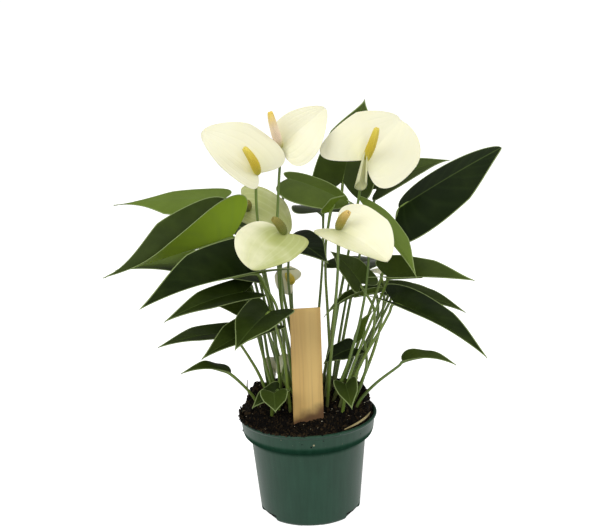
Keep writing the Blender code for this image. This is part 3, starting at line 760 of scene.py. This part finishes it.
# %% Spathe finish
spathe_finish, paint, shader = new_finish("spathe")
share = read(paint, "share")
spread = read(paint, "spread")
nerve = ((spread * 4.5).math("PINGPONG", 0.5) * 2).smooth(0.45, 0.0) * spread.smooth(0.0, 0.12)
cloud = speckle(paint, 55.0)
green = read(paint, "tone") + read(paint, "lean")
throat = share.math("ABSOLUTE").smooth(0.5, 0.0) * spread.smooth(1.0, 0.1)
pale = (cloud * 0.5).mix((0.94, 0.91, 0.66), (0.91, 0.875, 0.58))
pale = (throat * 0.30).mix(pale, (0.78, 0.8, 0.4))
leafy = (cloud * 0.8).mix((0.36, 0.405, 0.12), (0.51, 0.54, 0.205))
leafy = (nerve * 0.14).mix(leafy, (0.74, 0.78, 0.44))
colour = (green * (0.45 + throat * 0.6 + (cloud - 0.5) * 0.6)).smooth(0.0, 1.0).mix(pale, leafy)
colour = (read(paint, "under") * 0.30).mix(colour, (0.64, 0.7, 0.36))
connect(paint, shader, Base_Color=colour, Roughness=speckle(paint, 700.0) * 0.15 + 0.3,
        Subsurface_Weight=0.25, Subsurface_Radius=(1.0, 0.9, 0.5), Subsurface_Scale=0.002)
relief(paint, shader, nerve * -1.0, 0.0001)

# %% Bloom table
BLOOMS = {
    "left": heart((-34, -34, 309), (-77, -38, 345), 58, roll=-65, fold=8, spadix=(-43, -52, 333),
                  left=(0.55, 0.20, 0.3), right=(0.97, 0.35, 0.4), tones=(0.0, 0.3), colours="golden"),
    "top": heart((-15, -12, 326), (23, -10, 356), 48, roll=70, fold=15, spadix=(-22, -28, 357),
                 left=(0.68, 0.05, 0.4), right=(1.0, 0.10, 0.5), tones=(0.0, 0.3), colours="pink"),
    "right": heart((54, -15, 313), (85, 5, 342), 72, roll=60, fold=8, spadix=(63, -34, 342),
                   left=(0.88, 0.55, 0.6), right=(0.97, 0.30, 0.1), shoulder=0.06, tones=(0.0, 0.3),
                   colours="golden"),
    "green": heart((-45, 12, 269), (-10, 0, 250), 48, roll=35, fold=9, spadix=(-45, -3, 278),
                   left=(1.0, 0.5, 0.4), right=(0.6, 0.3, 0.4), tones=(1.7, 1.7), colours="olive"),
    "front_left": heart((-14, -66, 266), (-40, -102, 247), 62, roll=-25, fold=5, spadix=(-22, -78, 281),
                        left=(0.68, 0.25, 0.45), right=(0.93, 0.12, 0.1), lean=0.6, tones=(1.35, 1.5),
                        colours="olive"),
    "front_right": heart((29, -62, 267), (66, -96, 248), 54, roll=20, fold=18, spadix=(37, -78, 284),
                         left=(1.06, 0.36, 0.35), right=(0.70, 0.30, 0.5), lean=-0.5, tones=(0.45, 0.8),
                         colours="ripening"),
    "rear_low": heart((-10, 38, 196), (-24, 40, 204), 26, roll=-60, spadix=(-14, 30, 206),
                      tones=(0.3, 0.4), colours="golden"),
}
BUDS = {
    "low_left": heart((-28, 36, 115), (-37, 33, 128), 22, roll=-75, fold=34, tones=(0.0, 0.2)),
    "low_middle": heart((-20, 3, 127), (-18, 1, 143), 14, roll=-40, fold=30, tones=(0.0, 0.2)),
    "low_right": heart((43, 24, 110), (44, 22, 118), 10, fold=30, tones=(0.2, 0.4)),
    "right": heart((66, 12, 213), (72, -2, 211), 16, roll=20, fold=15, tones=(0.4, 0.6)),
}
SPATHE_THICKNESS = 0.6
SPATHE_QUILTING = 0.1
BUD_QUILTING = 0.2
STEM_DROP = 5 * MM
STEM_END_GIRTH = 1.2
STEM_TONE = 0.45
BUD_TONE = 0.8

for name, shape in BLOOMS.items():
    spathe = grow_blade(name + "_spathe", shape, SPATHE_HALF, SPATHE_THICKNESS, SPATHE_QUILTING,
                        spathe_finish)
    settle(spathe, "spathe", "bloom_" + name + "_spathe")
    node = "bloom_" + name + "_stem"
    end = shape["neck"] - blade_axes(shape)[1] * (SPATHE_THICKNESS / 2) * MM
    line = stalk_line(node, end.z - STEM_DROP)
    girths = girths_up(len(line) + 1, STEM_END_GIRTH)
    stem = grow_stalk(name + "_stem", line + [end], girths, STEM_TONE, stalk_finish)
    settle(stem, "stem", node)
for name, shape in BUDS.items():
    blade = grow_blade(name + "_bud", shape, SPATHE_HALF, SPATHE_THICKNESS, BUD_QUILTING, spathe_finish)
    settle(blade, "spathe", "bud_" + name)
    grow_leaf_stalk(name + "_bud_stalk", "bud_" + name, shape, BUD_TONE)
print("blooms:", len(BLOOMS), "young blades:", len(BUDS))

# %% [markdown]
# ## Rolled lobe
#
# One lobe of the right bloom never opened: it is still rolled into a pale green cone round the top of its
# stem. It is a fan wrapped round a line, open in front, that narrows to a point, and then thickened.

# %% Rolled lobe
LOBE_TIP = Vector((55.0, -24.0, 325.0))
LOBE_FOOT = Vector((50.0, -18.0, 292.0))
LOBE_RADIUS = 4.3
LOBE_POINT_RADIUS = 0.25
LOBE_OPENING = math.radians(70)
LOBE_SLANT = 0.18
LOBE_TAPER = 0.8
LOBE_WAVE = 0.12
LOBE_TONE = 0.35
LOBE_STEPS = 24


def rolled_lobe():
    """A cone round its middle line, open towards the front, with a slanting rim at its foot."""
    line = LOBE_TIP - LOBE_FOOT
    across = Vector((1.0, 0.0, 0.0)).cross(line).normalized()
    other = line.normalized().cross(across)
    points = []
    for row in range(LOBE_STEPS + 1):
        for column in range(LOBE_STEPS + 1):
            turn = LOBE_OPENING / 2 + (math.tau - LOBE_OPENING) * column / LOBE_STEPS
            climb = row / LOBE_STEPS + LOBE_SLANT * (1 - row / LOBE_STEPS) * math.cos(turn)
            wave = 1 + LOBE_WAVE * math.sin(2.0 * turn)
            radius = LOBE_RADIUS * (1 - climb) ** LOBE_TAPER * wave + LOBE_POINT_RADIUS
            out = across * math.cos(turn) + other * math.sin(turn)
            points.append(LOBE_FOOT + line * climb + out * radius)
    wide = LOBE_STEPS + 1
    corners = [row * wide + column for row in range(LOBE_STEPS) for column in range(LOBE_STEPS)]
    faces = [(corner, corner + 1, corner + wide + 1, corner + wide) for corner in corners]
    mesh = bpy.data.meshes.new("rolled_lobe")
    mesh.from_pydata([point * MM for point in points], [], faces)
    mesh.attributes.new("tone", "FLOAT", "POINT").data.foreach_set("value", [LOBE_TONE] * len(points))
    mesh.materials.append(spathe_finish)
    mesh.shade_smooth()
    return mesh


lobe = put_in_scene("right_rolled_lobe", rolled_lobe())
wall = lobe.modifiers.new("wall", "SOLIDIFY")
wall.thickness = SPATHE_THICKNESS * MM
wall.offset = 0.0
settle(lobe, "spathe")

# %% [markdown]
# ## Spadices
#
# A spadix is a finger packed with hundreds of tiny florets in crossing spirals. Turning each floret by the
# golden angle from the one before gives those spirals, so a tree sets them round a smooth finger.

# %% Spadix tree
SPADIX_PROFILE = (0.42, 0.85, 0.98, 1.0, 0.95, 0.87, 0.74, 0.45)
GOLDEN_ANGLE = math.pi * (3 - math.sqrt(5))
SPADIX_RINGS = 28
SPADIX_SIDES = 20
FINGER_SHARE = 0.90
FLORET_SHARE = 0.93
FLORET_HEIGHT = 0.85


def ball(start):
    """A round bead of few faces, for what is strewn or set by the hundred."""
    return start.node("GeometryNodeMeshIcoSphere", {}, {"Radius": 1.0, "Subdivisions": 1})


def spadix_tree():
    """Florets in crossing spirals round a smooth finger along a line."""
    start, ask = growing_tree("spadix", {
        "Line": "Geometry", "Radius": "Float", "Florets": "Int", "Floret size": "Float",
        "Finish": "Material"})
    line = start.node("GeometryNodeResampleCurve", {"mode": "COUNT"}, {
        "Curve": smooth_line(ask), "Count": SPADIX_RINGS})
    climb = start.node("GeometryNodeSplineParameter")
    finger = start.node("GeometryNodeCurveToMesh", {}, {
        "Curve": keep(line, "climb", climb), "Profile Curve": ring_of(start, SPADIX_SIDES),
        "Fill Caps": True, "Scale": climb.curve(SPADIX_PROFILE) * ask["Radius"] * FINGER_SHARE})
    # The finger is marked 1 for the painted shade between the florets; each floret is marked 0.
    finger = keep(finger, "gap", 1.0)
    index = start.node("GeometryNodeInputIndex")
    height = (index + 0.5) / ask["Florets"]
    sample = start.node("GeometryNodeSampleCurve", {"mode": "FACTOR"}, {
        "Curves": line, "Factor": height}, "Position")
    out = start.node("ShaderNodeVectorRotate", {}, {
        "Vector": sample.out("Normal"), "Axis": sample.out("Tangent"), "Angle": index * GOLDEN_ANGLE})
    girth = height.curve(SPADIX_PROFILE) * ask["Radius"] * FLORET_SHARE
    spot = start.node("ShaderNodeVectorMath", {"operation": "ADD"}, {0: sample, 1: scaled(out, girth)})
    points = start.node("GeometryNodePoints", {}, {"Count": ask["Florets"], "Position": spot})
    points = keep(points, "climb", height)
    floret = keep(ball(start), "gap", 0.0)
    flat = vector(start, ask["Floret size"], ask["Floret size"], ask["Floret size"] * FLORET_HEIGHT)
    facing = start.node("FunctionNodeAlignRotationToVector", {"axis": "Z"}, {"Vector": out})
    florets = start.node("GeometryNodeInstanceOnPoints", {}, {
        "Points": points, "Instance": floret, "Rotation": facing, "Scale": flat})
    return finish_tree(all_smooth(join(finger, florets)), ask["Finish"])


spadix_shape = spadix_tree()


# %% Spadix finishes
def spadix_finish(name, colours):
    """Colours from the spadix's base to its tip at even steps, and painted shade between the florets."""
    material, paint, shader = new_finish("spadix_" + name)
    climb = read(paint, "climb") + (speckle(paint, 500.0) - 0.5) * 0.12
    stops = [(step / (len(colours) - 1), colour) for step, colour in enumerate(colours)]
    colour = paint.node("ShaderNodeValToRGB", {"stops": stops}, {"Fac": climb})
    # Painted shade: the finger that shows between the florets is darkened as if in their shadow.
    colour = (read(paint, "gap") * 0.55).mix(colour, (0.12, 0.08, 0.015))
    connect(paint, shader, Base_Color=colour, Roughness=speckle(paint, 1500.0) * 0.2 + 0.4)
    return material


SPADIX_COLOURS = {
    "golden": ((0.58, 0.54, 0.05), (0.74, 0.56, 0.03), (0.80, 0.66, 0.09)),
    "pink": ((0.42, 0.42, 0.05), (0.92, 0.74, 0.56), (0.93, 0.77, 0.55), (0.88, 0.66, 0.10)),
    "olive": ((0.16, 0.20, 0.03), (0.18, 0.18, 0.02), (0.28, 0.24, 0.04)),
    "ripening": ((0.18, 0.22, 0.05), (0.36, 0.29, 0.04), (0.76, 0.54, 0.16)),
}
SPADIX_FINISHES = {name: spadix_finish(name, colours) for name, colours in SPADIX_COLOURS.items()}

# %% Spadices
SPADIX_RADIUS = 3.3
SPADIX_LIFT = 0.5
SPADIX_BEND = 0.25
SPADIX_LEAN = 0.4
SPADIX_STEPS = 9
FLORET_SIZE = 1.05
FLORETS_A_MM = 9
for name, shape in BLOOMS.items():
    face = blade_axes(shape)[1]
    base, end = shape["neck"] + face * SPADIX_LIFT * MM, Vector(shape["spadix"]) * MM
    lean = end - base
    middle = base + face * lean.length * SPADIX_BEND + lean * SPADIX_LEAN
    steps = [i / SPADIX_STEPS for i in range(SPADIX_STEPS + 1)]
    points = [base * (1 - t) ** 2 + middle * 2 * t * (1 - t) + end * t * t for t in steps]
    florets = round(lean.length / MM * FLORETS_A_MM)
    spadix = grow(name + "_spadix", spadix_shape, wire_mesh(name + "_axis", points, {}),
                  radius=SPADIX_RADIUS * MM, florets=florets, floret_size=FLORET_SIZE * MM,
                  finish=SPADIX_FINISHES[shape["colours"]])
    settle(spadix, "spadix", "bloom_" + name + "_spadix")
    print(name, "spadix florets:", florets)

# %% [markdown]
# ## Pot
#
# The pot is one moulded wall, turned round the middle, with soft corners and drain notches cut in its
# foot. The tree rounds the corners of the wall's profile, turns it and cuts the notches.

# %% Pot shape
POT_PROFILE = ((0, 0), (12, 0), (13.4, 1.4), (35.1, 1.4), (36.5, 0), (41.2, 0), (43.5, 2.3), (50, 69.5),
               (55.8, 72.3), (57, 75.9), (58.4, 86.8), (60, 87.8), (60, 89.2), (59.2, 90), (57.1, 90),
               (55.7, 74.5), (48.7, 69.5), (42.5, 3), (0, 3))
NOTCHES = ((0, 16, 1.0), (62, 27, 6.5), (118, 27, 6.5), (180, 16, 1.0), (242, 27, 6.5), (298, 27, 6.5))
NOTCH_PLACE = 43.5
NOTCH_DEPTH = 10.0
CORNER_STEPS = 5
CORNER_ANGLE = 0.6
POT_WELD = 0.01 * MM


def notch_cutters(start):
    """A block for every drain notch, turned to face out of the pot."""
    blocks = []
    for degrees, width, height in NOTCHES:
        turn = math.radians(degrees - 90)
        block = start.node("GeometryNodeMeshCube", {}, {
            "Size": Vector((NOTCH_DEPTH, width, 2 * height)) * MM})
        place = Vector((math.cos(turn), math.sin(turn), 0)) * NOTCH_PLACE * MM
        blocks.append(block.node("GeometryNodeTransform", {}, {
            "Geometry": block, "Translation": place, "Rotation": (0.0, 0.0, turn)}))
    return join(*blocks)


def pot_tree():
    """A wall's profile, given as a line of radius and height, turned into a pot."""
    start, ask = growing_tree("pot", {
        "Line": "Geometry", "Rounding": "Float", "Steps": "Int", "Finish": "Material"})
    line = start.node("GeometryNodeMeshToCurve", {}, {"Mesh": ask["Line"]})
    line = start.node("GeometryNodeFilletCurve", {"mode": "POLY"}, {
        "Curve": line, "Count": CORNER_STEPS, "Radius": ask["Rounding"], "Limit Radius": True})
    place = split(position(start))
    line = keep(keep(line, "reach", place), "height", place.out("Y"))
    turn = start.node("GeometryNodeSplineParameter") * math.tau
    ring = keep(ring_of(start, ask["Steps"]), "turn", turn)
    wall = start.node("GeometryNodeCurveToMesh", {}, {"Curve": ring, "Profile Curve": line})
    turn, reach, height = (stored(start, name) for name in ("turn", "reach", "height"))
    spot = vector(start, reach * turn.math("COSINE"), reach * turn.math("SINE"), height)
    wall = start.node("GeometryNodeMergeByDistance", {}, {
        "Geometry": moved(wall, spot), "Distance": POT_WELD})
    cut = start.node("GeometryNodeMeshBoolean", {"operation": "DIFFERENCE", "solver": "EXACT"}, {
        0: wall, 1: notch_cutters(start)})
    return finish_tree(soften(cut, CORNER_ANGLE), ask["Finish"])


# %% [markdown]
# ## Pot finish
#
# Moulded plastic has a soft sheen, faint brushing up its sides and dust below the rim. The tucked shoulder
# under the rim band is dull and hardly shines, so two shaders are mixed by how far a point is tucked in.

# %% Pot finish
GATE_PLACE = Vector((4.0, -57.6, 81.0))
SHOULDER_LOW, SHOULDER_HIGH = (66, 71), (79, 75)
pot_finish, paint, shader = new_finish("pot")
spot = on_piece(paint)
cloud = speckle(paint, 35.0, 4.0)
brushed = streaks(paint, (260.0, 260.0, 22.0), 3.0)
height = split(spot).out("Z") / MM
dust = speckle(paint, 420.0, 4.0).smooth(0.66, 0.80) * (0.15 + height.smooth(60, 88) * 0.4)
gate = paint.node("ShaderNodeVectorMath", {"operation": "DISTANCE"}, {
    0: spot, 1: GATE_PLACE * MM}, "Value") / MM
colour = (brushed * 0.55 + cloud * 0.45).smooth(0.3, 0.7)
colour = colour.mix((0.007, 0.04, 0.021), (0.013, 0.056, 0.032))
colour = (dust * 0.5).mix(colour, (0.25, 0.3, 0.23))
colour = gate.smooth(1.1, 0.5).mix(colour, (0.42, 0.38, 0.22))
tucked = height.smooth(*SHOULDER_LOW) * height.smooth(*SHOULDER_HIGH)
two_sheens(paint, shader, tucked, (0.3, 0.02), brushed * 0.4 + speckle(paint, 2600.0) * 0.6, 0.00006,
           Base_Color=colour, Roughness=cloud * 0.15 + dust * 0.3 + tucked * 0.4 + 0.36)

# %% Pot
POT_ROUNDING = 3.5
POT_STEPS = 180
profile = wire_mesh("pot_profile", [Vector((radius, height, 0)) * MM for radius, height in POT_PROFILE], {})
pot = grow("pot_shell", pot_tree(), profile, rounding=POT_ROUNDING * MM, steps=POT_STEPS, finish=pot_finish)
settle(pot, "pot", "pot")
print("pot faces:", len(pot.data.polygons))

# %% [markdown]
# ## Soil
#
# The root ball domes above the rim behind and is loose crumbs on top. A body gives the mound, and a tree
# strews it with crumbs of several sizes, pale perlite and bits of straw, each with its own tint.

# %% Soil body
SOIL_TOP_RADIUS = 56.4
SOIL_EDGE_HEIGHT = 88.4
SOIL_DOME = 17.0
SOIL_DOME_FRONT = -40.0
SOIL_DOME_LENGTH = 60.0
SOIL_SLOPE_WIDTH = 5.0
SOIL_WALL = ((41.9, 3.4), (48.1, 69.3), (55.1, 74.5))
HEAPS = ((-42, 19, 6.5, 7.0), (47, 12, 5.0, 10.0), (15, -31, 3.5, 7.0))
SOIL_SINK = 0.8
LUMP_SCALE = 0.11
ROUGH_SCALE = 0.35
ROUGH_HEIGHT = 1.1
SOIL_RINGS = 48
SOIL_SPOKES = 120


def smooth_step(share):
    """0 below 0 and 1 above 1, with a soft rise between."""
    share = min(1.0, max(0.0, share))
    return share * share * (3 - 2 * share)


def soil_height(x, y):
    """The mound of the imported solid, with heaps behind on the left and beside the label, and roughness."""
    rise = smooth_step((SOIL_TOP_RADIUS - math.hypot(x, y)) / SOIL_SLOPE_WIDTH)
    dome = SOIL_DOME * smooth_step((y - SOIL_DOME_FRONT) / SOIL_DOME_LENGTH)
    spot = Vector((x, y, 0.0))
    lump = noise.noise(spot * LUMP_SCALE) * (1 + 2 * rise)
    heap = sum(top * math.exp(-(math.hypot(x - left, y - back) / wide) ** 2)
               for left, back, top, wide in HEAPS)
    rough = ROUGH_HEIGHT * noise.turbulence(spot * ROUGH_SCALE, 3, False)
    return SOIL_EDGE_HEIGHT + dome * rise + lump + heap + rough - SOIL_SINK


def soil_mesh():
    """Rings of points up the wall and in over the mound, closed below and in the middle."""
    turns = [math.tau * i / SOIL_SPOKES for i in range(SOIL_SPOKES)]
    points = [Vector((radius * math.cos(turn), radius * math.sin(turn), height))
              for radius, height in SOIL_WALL for turn in turns]
    for ring in range(SOIL_RINGS):
        radius = SOIL_TOP_RADIUS * (1 - ring / SOIL_RINGS)
        for turn in turns:
            x, y = radius * math.cos(turn), radius * math.sin(turn)
            points.append(Vector((x, y, soil_height(x, y))))
    faces = [tuple(reversed(range(SOIL_SPOKES)))]
    rings = SOIL_RINGS + len(SOIL_WALL)
    for low in range(0, (rings - 1) * SOIL_SPOKES, SOIL_SPOKES):
        for i in range(SOIL_SPOKES):
            after = (i + 1) % SOIL_SPOKES
            faces.append((low + i, low + after, low + after + SOIL_SPOKES, low + i + SOIL_SPOKES))
    faces.append(tuple(range((rings - 1) * SOIL_SPOKES, rings * SOIL_SPOKES)))
    mesh = bpy.data.meshes.new("soil_body")
    mesh.from_pydata([point * MM for point in points], [], faces)
    return mesh


# %% Strewing
SOIL_TOP_LEVEL = 85.0
TURN_RANGE = 6.28


def chance(wire, low, high, seed):
    """A random number for every point."""
    return wire.node("FunctionNodeRandomValue", {"data_type": "FLOAT"}, {2: low, 3: high, "Seed": seed}, 1)


def strew(ground, piece, density, sizes, tints, pale, seed, flat=False, where=None):
    """Scatter a piece over the top of the ground, in random sizes, turns and tints."""
    on_top = split(position(ground)).out("Z").math("GREATER_THAN", SOIL_TOP_LEVEL * MM)
    points = ground.node("GeometryNodeDistributePointsOnFaces", {}, {
        "Mesh": ground, "Selection": where or on_top, "Density": density, "Seed": seed})
    points = keep(keep(points, "tint", chance(ground, *tints, seed + 1)), "pale", pale)
    tilt = (math.pi / 2, 0.0) if flat else [chance(ground, 0.0, TURN_RANGE, seed + i) for i in (2, 3)]
    lie = vector(ground, *tilt, chance(ground, 0.0, TURN_RANGE, seed + 4))
    size = vector(ground, *(chance(ground, low * MM, high * MM, seed + 5 + axis)
                            for axis, (low, high) in enumerate(sizes)))
    turn = ground.node("FunctionNodeEulerToRotation", {}, {"Euler": lie})
    return ground.node("GeometryNodeInstanceOnPoints", {}, {
        "Points": points, "Instance": piece, "Rotation": turn, "Scale": size})


# %% Rim ledge
LEDGE_INNER = 56.6
LEDGE_OUTER = 60.0
LEDGE_HEIGHT = 90.3
LEDGE_SIDE = 0.12
LEDGE_POINTS = 121
PATCH_SCALE = 70.0
PATCH_LEVEL = 0.47


def rim_ledge(start):
    """A level sheet just over the rim, and where on it soil has spilled: mostly left and behind."""
    sheet = start.node("GeometryNodeMeshGrid", {}, {
        "Size X": LEDGE_SIDE, "Size Y": LEDGE_SIDE, "Vertices X": LEDGE_POINTS, "Vertices Y": LEDGE_POINTS})
    sheet = start.node("GeometryNodeTransform", {}, {
        "Geometry": sheet, "Translation": (0.0, 0.0, LEDGE_HEIGHT * MM)})
    spot = position(start)
    place = split(spot)
    reach = (place * place + place.out("Y") * place.out("Y")) ** 0.5 / MM
    patch = start.node("ShaderNodeTexNoise", {}, {"Vector": spot, "Scale": PATCH_SCALE}) - place * 3.0
    ring = reach.math("GREATER_THAN", LEDGE_INNER) * reach.math("LESS_THAN", LEDGE_OUTER)
    return sheet, ring * (patch + place.out("Y") * 1.5).math("GREATER_THAN", PATCH_LEVEL)


# %% Soil tree
def soil_tree():
    """The mound with its crumbs, clods, pale specks and straws, and what spilled on the rim."""
    start, ask = growing_tree("soil", {"Body": "Geometry", "Finish": "Material"})
    bead = ball(start)
    rod = start.node("GeometryNodeMeshCylinder", {}, {"Vertices": 5, "Radius": 1.0, "Depth": 1.0})
    body = ask["Body"]
    crumbs = strew(body, bead, 420000.0, ((0.4, 1.0), (0.4, 0.8), (0.3, 0.8)), (0.0, 1.0), 0.0, 3)
    clods = strew(body, bead, 60000.0, ((0.9, 3.0), (0.8, 2.4), (0.7, 1.9)), (0.0, 0.8), 0.0, 21)
    perlite = strew(body, bead, 6000.0, ((0.35, 0.9), (0.35, 0.8), (0.3, 0.6)), (0.3, 1.0), 1.0, 40)
    straws = strew(body, rod, 4500.0, ((0.12, 0.3), (0.12, 0.3), (2.0, 7.0)), (0.3, 1.0), 0.5, 63, True)
    ledge, spilled = rim_ledge(start)
    spill = strew(ledge, bead, 700000.0, ((0.5, 1.5), (0.5, 1.3), (0.4, 1.1)), (0.0, 1.0), 0.0, 80,
                  where=spilled)
    body = keep(keep(body, "tint", 0.2), "pale", 0.0)
    return finish_tree(all_smooth(join(body, crumbs, clods, perlite, straws, spill)), ask["Finish"])


# %% Soil finish
soil_finish, paint, shader = new_finish("soil")
tint = read(paint, "tint") * 0.7 + speckle(paint, 800.0) * 0.3
dark = tint.smooth(0.35, 1.0).mix((0.0025, 0.0017, 0.001), (0.055, 0.034, 0.014))
pale = tint.smooth(0.0, 1.0).mix((0.3, 0.21, 0.095), (0.62, 0.57, 0.43))
colour = read(paint, "pale").smooth(0.0, 1.0).mix(dark, pale)
connect(paint, shader, Base_Color=colour, Roughness=0.9, Specular_IOR_Level=0.15)
relief(paint, shader, speckle(paint, 1900.0, 4.0), 0.0003)

# %% Soil
soil = grow("soil_mound", soil_tree(), soil_mesh(), finish=soil_finish)
settle(soil, "soil", "soil")
print("soil faces:", len(soil.data.polygons))

# %% Straw and twigs
straw_finish, paint, shader = new_finish("straw")
colour = speckle(paint, 160.0).mix((0.23, 0.17, 0.06), (0.6, 0.5, 0.25))
connect(paint, shader, Base_Color=colour, Roughness=0.55)
twig_finish, paint, shader = new_finish("twig")
colour = speckle(paint, 500.0).mix((0.01, 0.007, 0.005), (0.05, 0.03, 0.015))
connect(paint, shader, Base_Color=colour, Roughness=0.8)
STRAW_RADIUS = 55.0
STRAW_STOPS = ((-57, 89.8), (-45, 90.8), (-33, 91.4), (-22, 91.6), (-11, 91.2))
straw_line = []
for degrees, height in STRAW_STOPS:
    turn = math.radians(degrees)
    straw_line.append(Vector((STRAW_RADIUS * math.cos(turn), STRAW_RADIUS * math.sin(turn), height)) * MM)
straw = grow_stalk("long_straw", straw_line, (0.3, 0.9, 1.0, 0.8, 0.3), 0.5, straw_finish, 8)
settle(straw, "soil")
TWIGS = (((-51, 17, 99), (-52.5, 17.5, 107), (-52, 18, 114)),
         ((-44, 24, 103), (-42, 23, 109), (-38, 24, 111)))
for index, line in enumerate(TWIGS):
    twig = grow_stalk("twig_%d" % index, [Vector(point) * MM for point in line], (0.7, 0.6, 0.3), 0.5,
                      twig_finish, 6)
    settle(twig, "soil")

# %% [markdown]
# ## Label
#
# The label is a flat wooden stake with a pointed foot, cut from a pale board, with fine grain up its
# length and a brown edge where the wet soil has soaked in.

# %% Label finish
wood_finish, paint, shader = new_finish("wood")
grain = streaks(paint, (420.0, 420.0, 9.0), 5.0)
wide = streaks(paint, (110.0, 110.0, 5.0), 2.0)
place = split(on_piece(paint))
cloud = speckle(paint, 110.0, 4.0)
soaked = (place.out("Z") / MM - place / MM * 0.35 + cloud * -9.0).smooth(101.0, 88.0)
colour = wide.smooth(0.3, 0.7).mix((0.64, 0.4, 0.12), (0.79, 0.54, 0.185))
colour = (grain.smooth(0.50, 0.80) * 0.6).mix(colour, (0.44, 0.235, 0.085))
colour = (soaked * 0.92).mix(colour, (0.085, 0.03, 0.01))
connect(paint, shader, Base_Color=colour, Roughness=grain * 0.2 + 0.45)
relief(paint, shader, grain * -1.0, 0.00012)

# %% Label
LABEL_OUTLINE = ((-13, 191), (-13, 72), (-3, 58), (3, 58), (13, 72), (13, 191))
LABEL_THICKNESS = 2.0
LABEL_PLACE = Vector((0.5, -25.0, 0.0))
LABEL_TURN = math.radians(5.0)
CORNER_CUT = 0.35


def plank(name, outline, thickness):
    """A flat board of an outline, standing, with its corners just taken off."""
    wide = len(outline)
    sheets = [Vector((x, y, z)) * MM for y in (-thickness / 2, thickness / 2) for x, z in outline]
    sides = [(i, (i + 1) % wide, (i + 1) % wide + wide, i + wide) for i in range(wide)]
    faces = [tuple(reversed(range(wide))), tuple(range(wide, 2 * wide)), *sides]
    mesh = bpy.data.meshes.new(name)
    mesh.from_pydata(sheets, [], faces)
    board = put_in_scene(name, mesh)
    bevel = board.modifiers.new("corners", "BEVEL")
    bevel.width = CORNER_CUT * MM
    bevel.segments = 2
    board.data = plain_mesh(board)
    board.modifiers.clear()
    return board


label = plank("wooden_label", LABEL_OUTLINE, LABEL_THICKNESS)
label.data.transform(Matrix.Translation(LABEL_PLACE * MM) @ Matrix.Rotation(LABEL_TURN, 4, "Z"))
label.data.materials.append(wood_finish)
settle(label, "label", "label")
